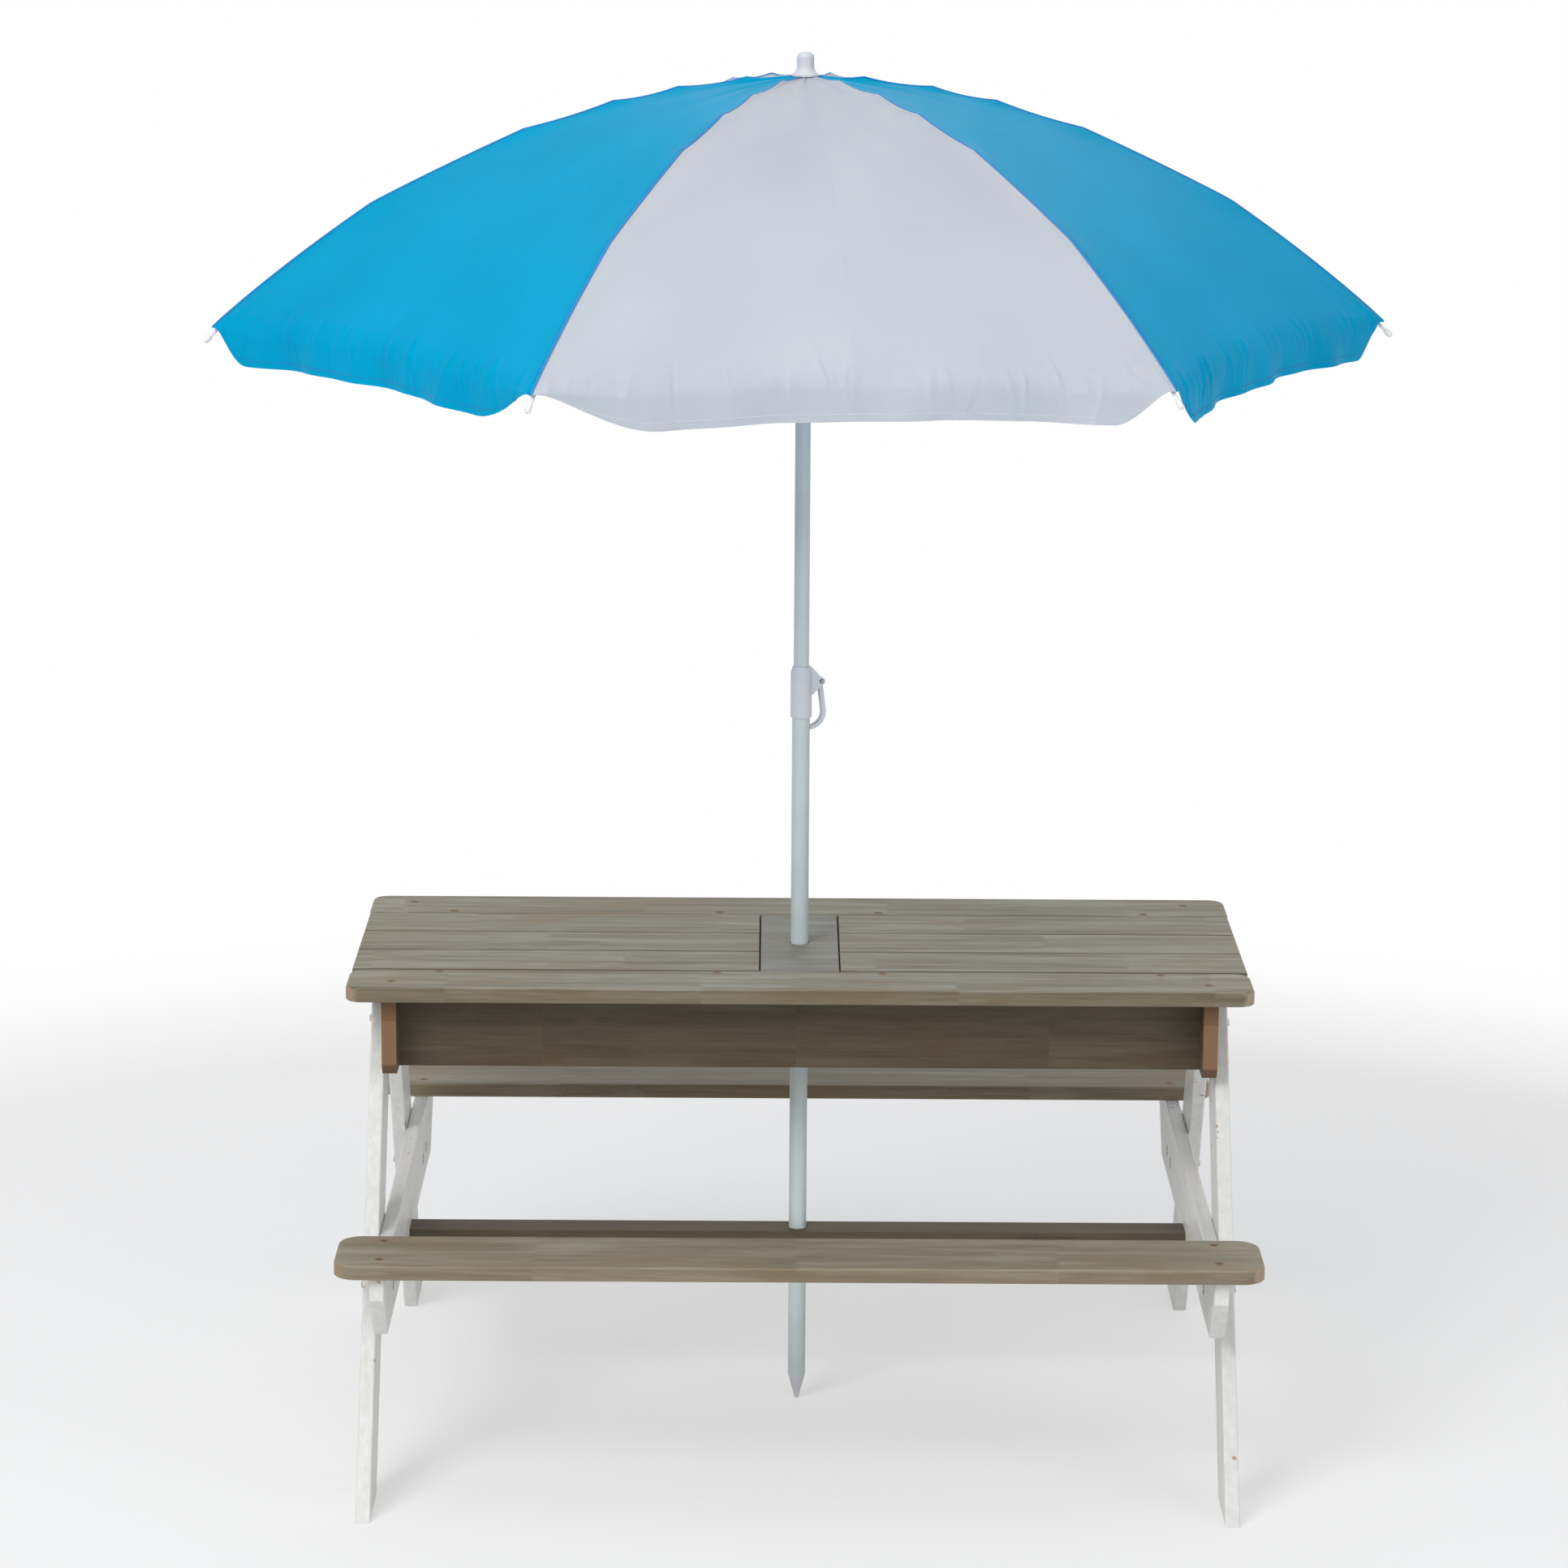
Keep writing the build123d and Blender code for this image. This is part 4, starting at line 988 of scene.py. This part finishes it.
def grown(name, mesh, tree, sizes, material, smooth):
    """Runs a tree on a mesh and returns the result as a plain mesh object."""
    obj = link(name, mesh)
    modifier = obj.modifiers.new("grow", "NODES")
    modifier.node_group = tree
    for item in tree.interface.items_tree:
        if item.item_type == "SOCKET" and item.in_out == "INPUT" and item.name in sizes:
            modifier[item.identifier] = sizes[item.name]
    evaluated = obj.evaluated_get(bpy.context.evaluated_depsgraph_get())
    result = bpy.data.meshes.new_from_object(evaluated)
    obj.modifiers.remove(modifier)
    obj.data = result
    give(obj, material)
    for polygon in result.polygons:
        polygon.use_smooth = smooth
    return obj


stitch_sizes = {"Spacing": 0.0042, "Length": 0.0031, "Thread radius": 0.00032}
tree, given, out = node_tree("stitches", stitch_sizes)
line = add(tree, "GeometryNodeMeshToCurve", links={0: given["Geometry"]})
spaced = {"Curve": line, "Length": given["Spacing"]}
marks = add(tree, "GeometryNodeResampleCurve", {"mode": "LENGTH"}, links=spaced)
tangent = add(tree, "GeometryNodeInputTangent")
turn = add(tree, "FunctionNodeAlignRotationToVector", {"axis": "Z"}, links={"Vector": tangent})
sized = {"Radius": given["Thread radius"], "Depth": given["Length"]}
stitch = add(tree, "GeometryNodeMeshCylinder", values={"Vertices": 6}, links=sized)
on_marks = {"Points": marks, "Instance": stitch.outputs["Mesh"], "Rotation": turn}
placed = add(tree, "GeometryNodeInstanceOnPoints", links=on_marks)
real = add(tree, "GeometryNodeRealizeInstances", links={0: placed})
dressed = add(tree, "GeometryNodeSetMaterial", values={"Material": white_thread}, links={0: real})
tree.links.new(dressed.outputs[0], out.inputs[0])
stitch_tree = tree
print("stitches every", stitch_sizes["Spacing"] * 1000, "mm")

# %% [markdown]
# One row of stitches runs along each side of a seam, and one along each hem. Both rows lie on the gore's own
# grid of points, a hair above the cloth, so they follow its sag and its waves. The hem's row ends a little
# before the ribs, where the valance is too short for it, and the seam's row starts outside the crown.

# %% Stitches along the seams and the hems
hem_row = 4                  # rows of the grid above the hem
hem_margin = 0.012           # hem without stitches beside a rib
seam_first_row = 8
seam_distance = 0.0045       # from the seam to its row of stitches
seam_steps = 3               # columns of the grid that give the row its direction
proud = 0.00012              # of the stitches above the cloth


def line_mesh(name, lines):
    """Several lines of points as one mesh of edges."""
    mesh = bpy.data.meshes.new(name)
    points, edges = [], []
    for line in lines:
        first = len(points)
        points += [tuple(p) for p in line]
        edges += [(i, i + 1) for i in range(first, len(points) - 1)]
    mesh.from_pydata(points, edges, [])
    return mesh


margin_steps = round(hem_margin * across_steps / gore_width)
seam_rows = slice(seam_first_row, top_rows + 2)
half_columns = {
    "a": (slice(margin_steps, half_steps + 1), 0, seam_steps),
    "b": (slice(half_steps, -margin_steps), -1, -1 - seam_steps),
}
stitched = {}
for k in rib_numbers:
    grid = gore_grids[k]
    middle = rib_angle(k) + half_gore
    outward = np.array((cos(middle), sin(middle), 0.0)) * proud
    for side, (hem_columns, at_seam, beside) in half_columns.items():
        hem = grid[-1 - hem_row, hem_columns] + outward
        edge, inner = grid[seam_rows, at_seam], grid[seam_rows, beside]
        share = np.minimum(1.0, seam_distance / np.linalg.norm(inner - edge, axis=-1))[:, None]
        row = edge * (1 - share) + inner * share + np.array((0, 0, proud))
        lines = line_mesh(f"stitch_lines_{k}{side}", [hem, row])
        material = blue_thread if k % 2 == 0 else white_thread
        name = f"canopy_stitches_{k}{side}"
        stitched[k, side] = grown(name, lines, stitch_tree, stitch_sizes, material, smooth=True)
print(sum(len(o.data.polygons) for o in stitched.values()), "faces of stitches")

# %% [markdown]
# Now each half gore is tied to its rib, together with its stitches: it rides on the rib's body. The CAD
# frame's own panel for that gore is hidden.

for (k, side), (obj, rib, area) in halves.items():
    azimuth = rib_angle(rib)
    outward = Vector((cos(azimuth), sin(azimuth), 0.0))
    sideways = Vector((-sin(azimuth), cos(azimuth), 0.0)) * (1 if side == "a" else -1)
    for piece in (obj, stitched[k, side]):
        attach(piece, f"rib_{rib}")
        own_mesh(piece)
    if side == "a":
        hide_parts(f"canopy_panel_{k}")

# %% [markdown]
# The countersunk screws have a cross recess. Geometry Nodes build one screw from its sizes: a cone for the
# head, with two crossed slots cut out of it, and a long cone for the shank. The tree sets it on every point
# that it is given, with its axis along the point's own direction and its slots turned at random.

# %% Screw tree
screw_sizes = {
    "Head radius": 0.0031,
    "Shank radius": 0.00175,
    "Head height": 0.0016,
    "Length": 0.024,
    "Slot width": 0.0011,
}
slot_share = 1.1
tip_radius = 0.0003

tree, given, out = node_tree("countersunk_screws", screw_sizes)
down = add(tree, "ShaderNodeMath", multiply, {1: -1.0}, {0: given["Head height"]})
head_low = add(tree, "ShaderNodeCombineXYZ", links={2: down})
sized = {
    "Radius Top": given["Head radius"],
    "Radius Bottom": given["Shank radius"],
    "Depth": given["Head height"],
}
head = add(tree, "GeometryNodeMeshCone", values={"Vertices": 20}, links=sized)
head = add(tree, "GeometryNodeTransform", links={0: head.outputs["Mesh"], "Translation": head_low})
slot_length = add(tree, "ShaderNodeMath", multiply, {1: slot_share}, {0: given["Head radius"]})
recess = add(tree, "GeometryNodeMeshBoolean", {"operation": "DIFFERENCE"}, links={"Mesh 1": head})
for along, over in ((0, 1), (1, 0)):
    sized = {along: slot_length, over: given["Slot width"], 2: given["Head height"]}
    size = add(tree, "ShaderNodeCombineXYZ", links=sized)
    slot = add(tree, "GeometryNodeMeshCube", links={"Size": size})
    tree.links.new(slot.outputs["Mesh"], recess.inputs["Mesh 2"])
sized = {"Radius Bottom": given["Shank radius"], "Depth": given["Length"]}
shank = add(tree, "GeometryNodeMeshCone", values={"Vertices": 12, "Radius Top": tip_radius}, links=sized)
lowered = {0: shank.outputs["Mesh"], "Translation": head_low}
shank = add(tree, "GeometryNodeTransform", values={"Rotation": (pi, 0, 0)}, links=lowered)
screw = add(tree, "GeometryNodeJoinGeometry")
for made in (shank, recess):
    tree.links.new(made.outputs[0], screw.inputs[0])

way = add(tree, "GeometryNodeInputNamedAttribute", {"data_type": "FLOAT_VECTOR"}, {"Name": "way"})
turn = add(tree, "FunctionNodeAlignRotationToVector", {"axis": "Z"}, links={"Vector": way})
luck = add(tree, "FunctionNodeRandomValue", {"data_type": "FLOAT"}, {"Seed": 7})
spun = add(tree, "ShaderNodeCombineXYZ", links={2: luck.outputs[1]})
on_places = {"Points": given["Geometry"], "Instance": screw, "Rotation": turn}
placed = add(tree, "GeometryNodeInstanceOnPoints", links=on_places)
driven = add(tree, "GeometryNodeRotateInstances", links={"Instances": placed, "Rotation": spun})
real = add(tree, "GeometryNodeRealizeInstances", links={0: driven})
dressed = add(tree, "GeometryNodeSetMaterial", values={"Material": yellow_zinc}, links={0: real})
tree.links.new(dressed.outputs[0], out.inputs[0])
screw_tree = tree
print("one screw:", screw_sizes)

# %% [markdown]
# The places of the screws come from the CAD screws: each is one loose solid, its wide end is the head, and
# its axis runs to the point. The solids are sorted by place, so the same screw always gets the same turn.

# %% Screws on every place
lid_screw_length = 0.018
screw_nodes = {
    "wood_screws": ("table", screw_sizes["Length"]),
    "left_lid_screws": ("left_lid", lid_screw_length),
    "right_lid_screws": ("right_lid", lid_screw_length),
}
screw_sunk = 0.0008          # of the heads below the wood's surface
past_shank = 0.003           # wider than a shank and narrower than a head, as a radius
same_point = 1e-6


def loose_solids(mesh):
    """The points of each loose solid of a mesh."""
    bm = bmesh.new()
    bm.from_mesh(mesh)
    bmesh.ops.remove_doubles(bm, verts=bm.verts, dist=same_point)
    left = set(bm.verts)
    solids = []
    while left:
        stack, solid = [left.pop()], []
        while stack:
            vert = stack.pop()
            solid.append(vert.co.copy())
            fresh = left & {edge.other_vert(vert) for edge in vert.link_edges}
            left -= fresh
            stack += fresh
        solids.append(solid)
    bm.free()
    return solids


def screw_head(solid):
    """Centre of a screw's head, and the direction that it faces along the screw's axis."""
    low, high = [Vector([pick(p[i] for p in solid) for i in range(3)]) for pick in (min, max)]
    axis = max(range(3), key=lambda i: high[i] - low[i])
    centre = (low + high) / 2
    off_centre = [p - centre for p in solid]
    wide = next(p for p in off_centre if hypot(*[p[i] for i in range(3) if i != axis]) > past_shank)
    way = Vector((0, 0, 0))
    way[axis] = 1.0 if wide[axis] > 0 else -1.0
    centre[axis] = high[axis] if wide[axis] > 0 else low[axis]
    return centre, way


for node, (body, length) in screw_nodes.items():
    heads = [screw_head(solid) for solid in loose_solids(frame["nodes"][node].data)]
    heads.sort(key=lambda head: tuple(round(c, 4) for c in head[0]))
    mesh = bpy.data.meshes.new(f"{node}_places")
    mesh.from_pydata([tuple(centre - way * screw_sunk) for centre, way in heads], [], [])
    ways = mesh.attributes.new("way", "FLOAT_VECTOR", "POINT")
    ways.data.foreach_set("vector", [c for _, way in heads for c in way])
    sizes = {**screw_sizes, "Length": length}
    screws = grown(f"crosshead_{node}", mesh, screw_tree, sizes, yellow_zinc, smooth=False)
    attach(screws, body)
    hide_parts(node)
    print(node, len(heads), "screws")
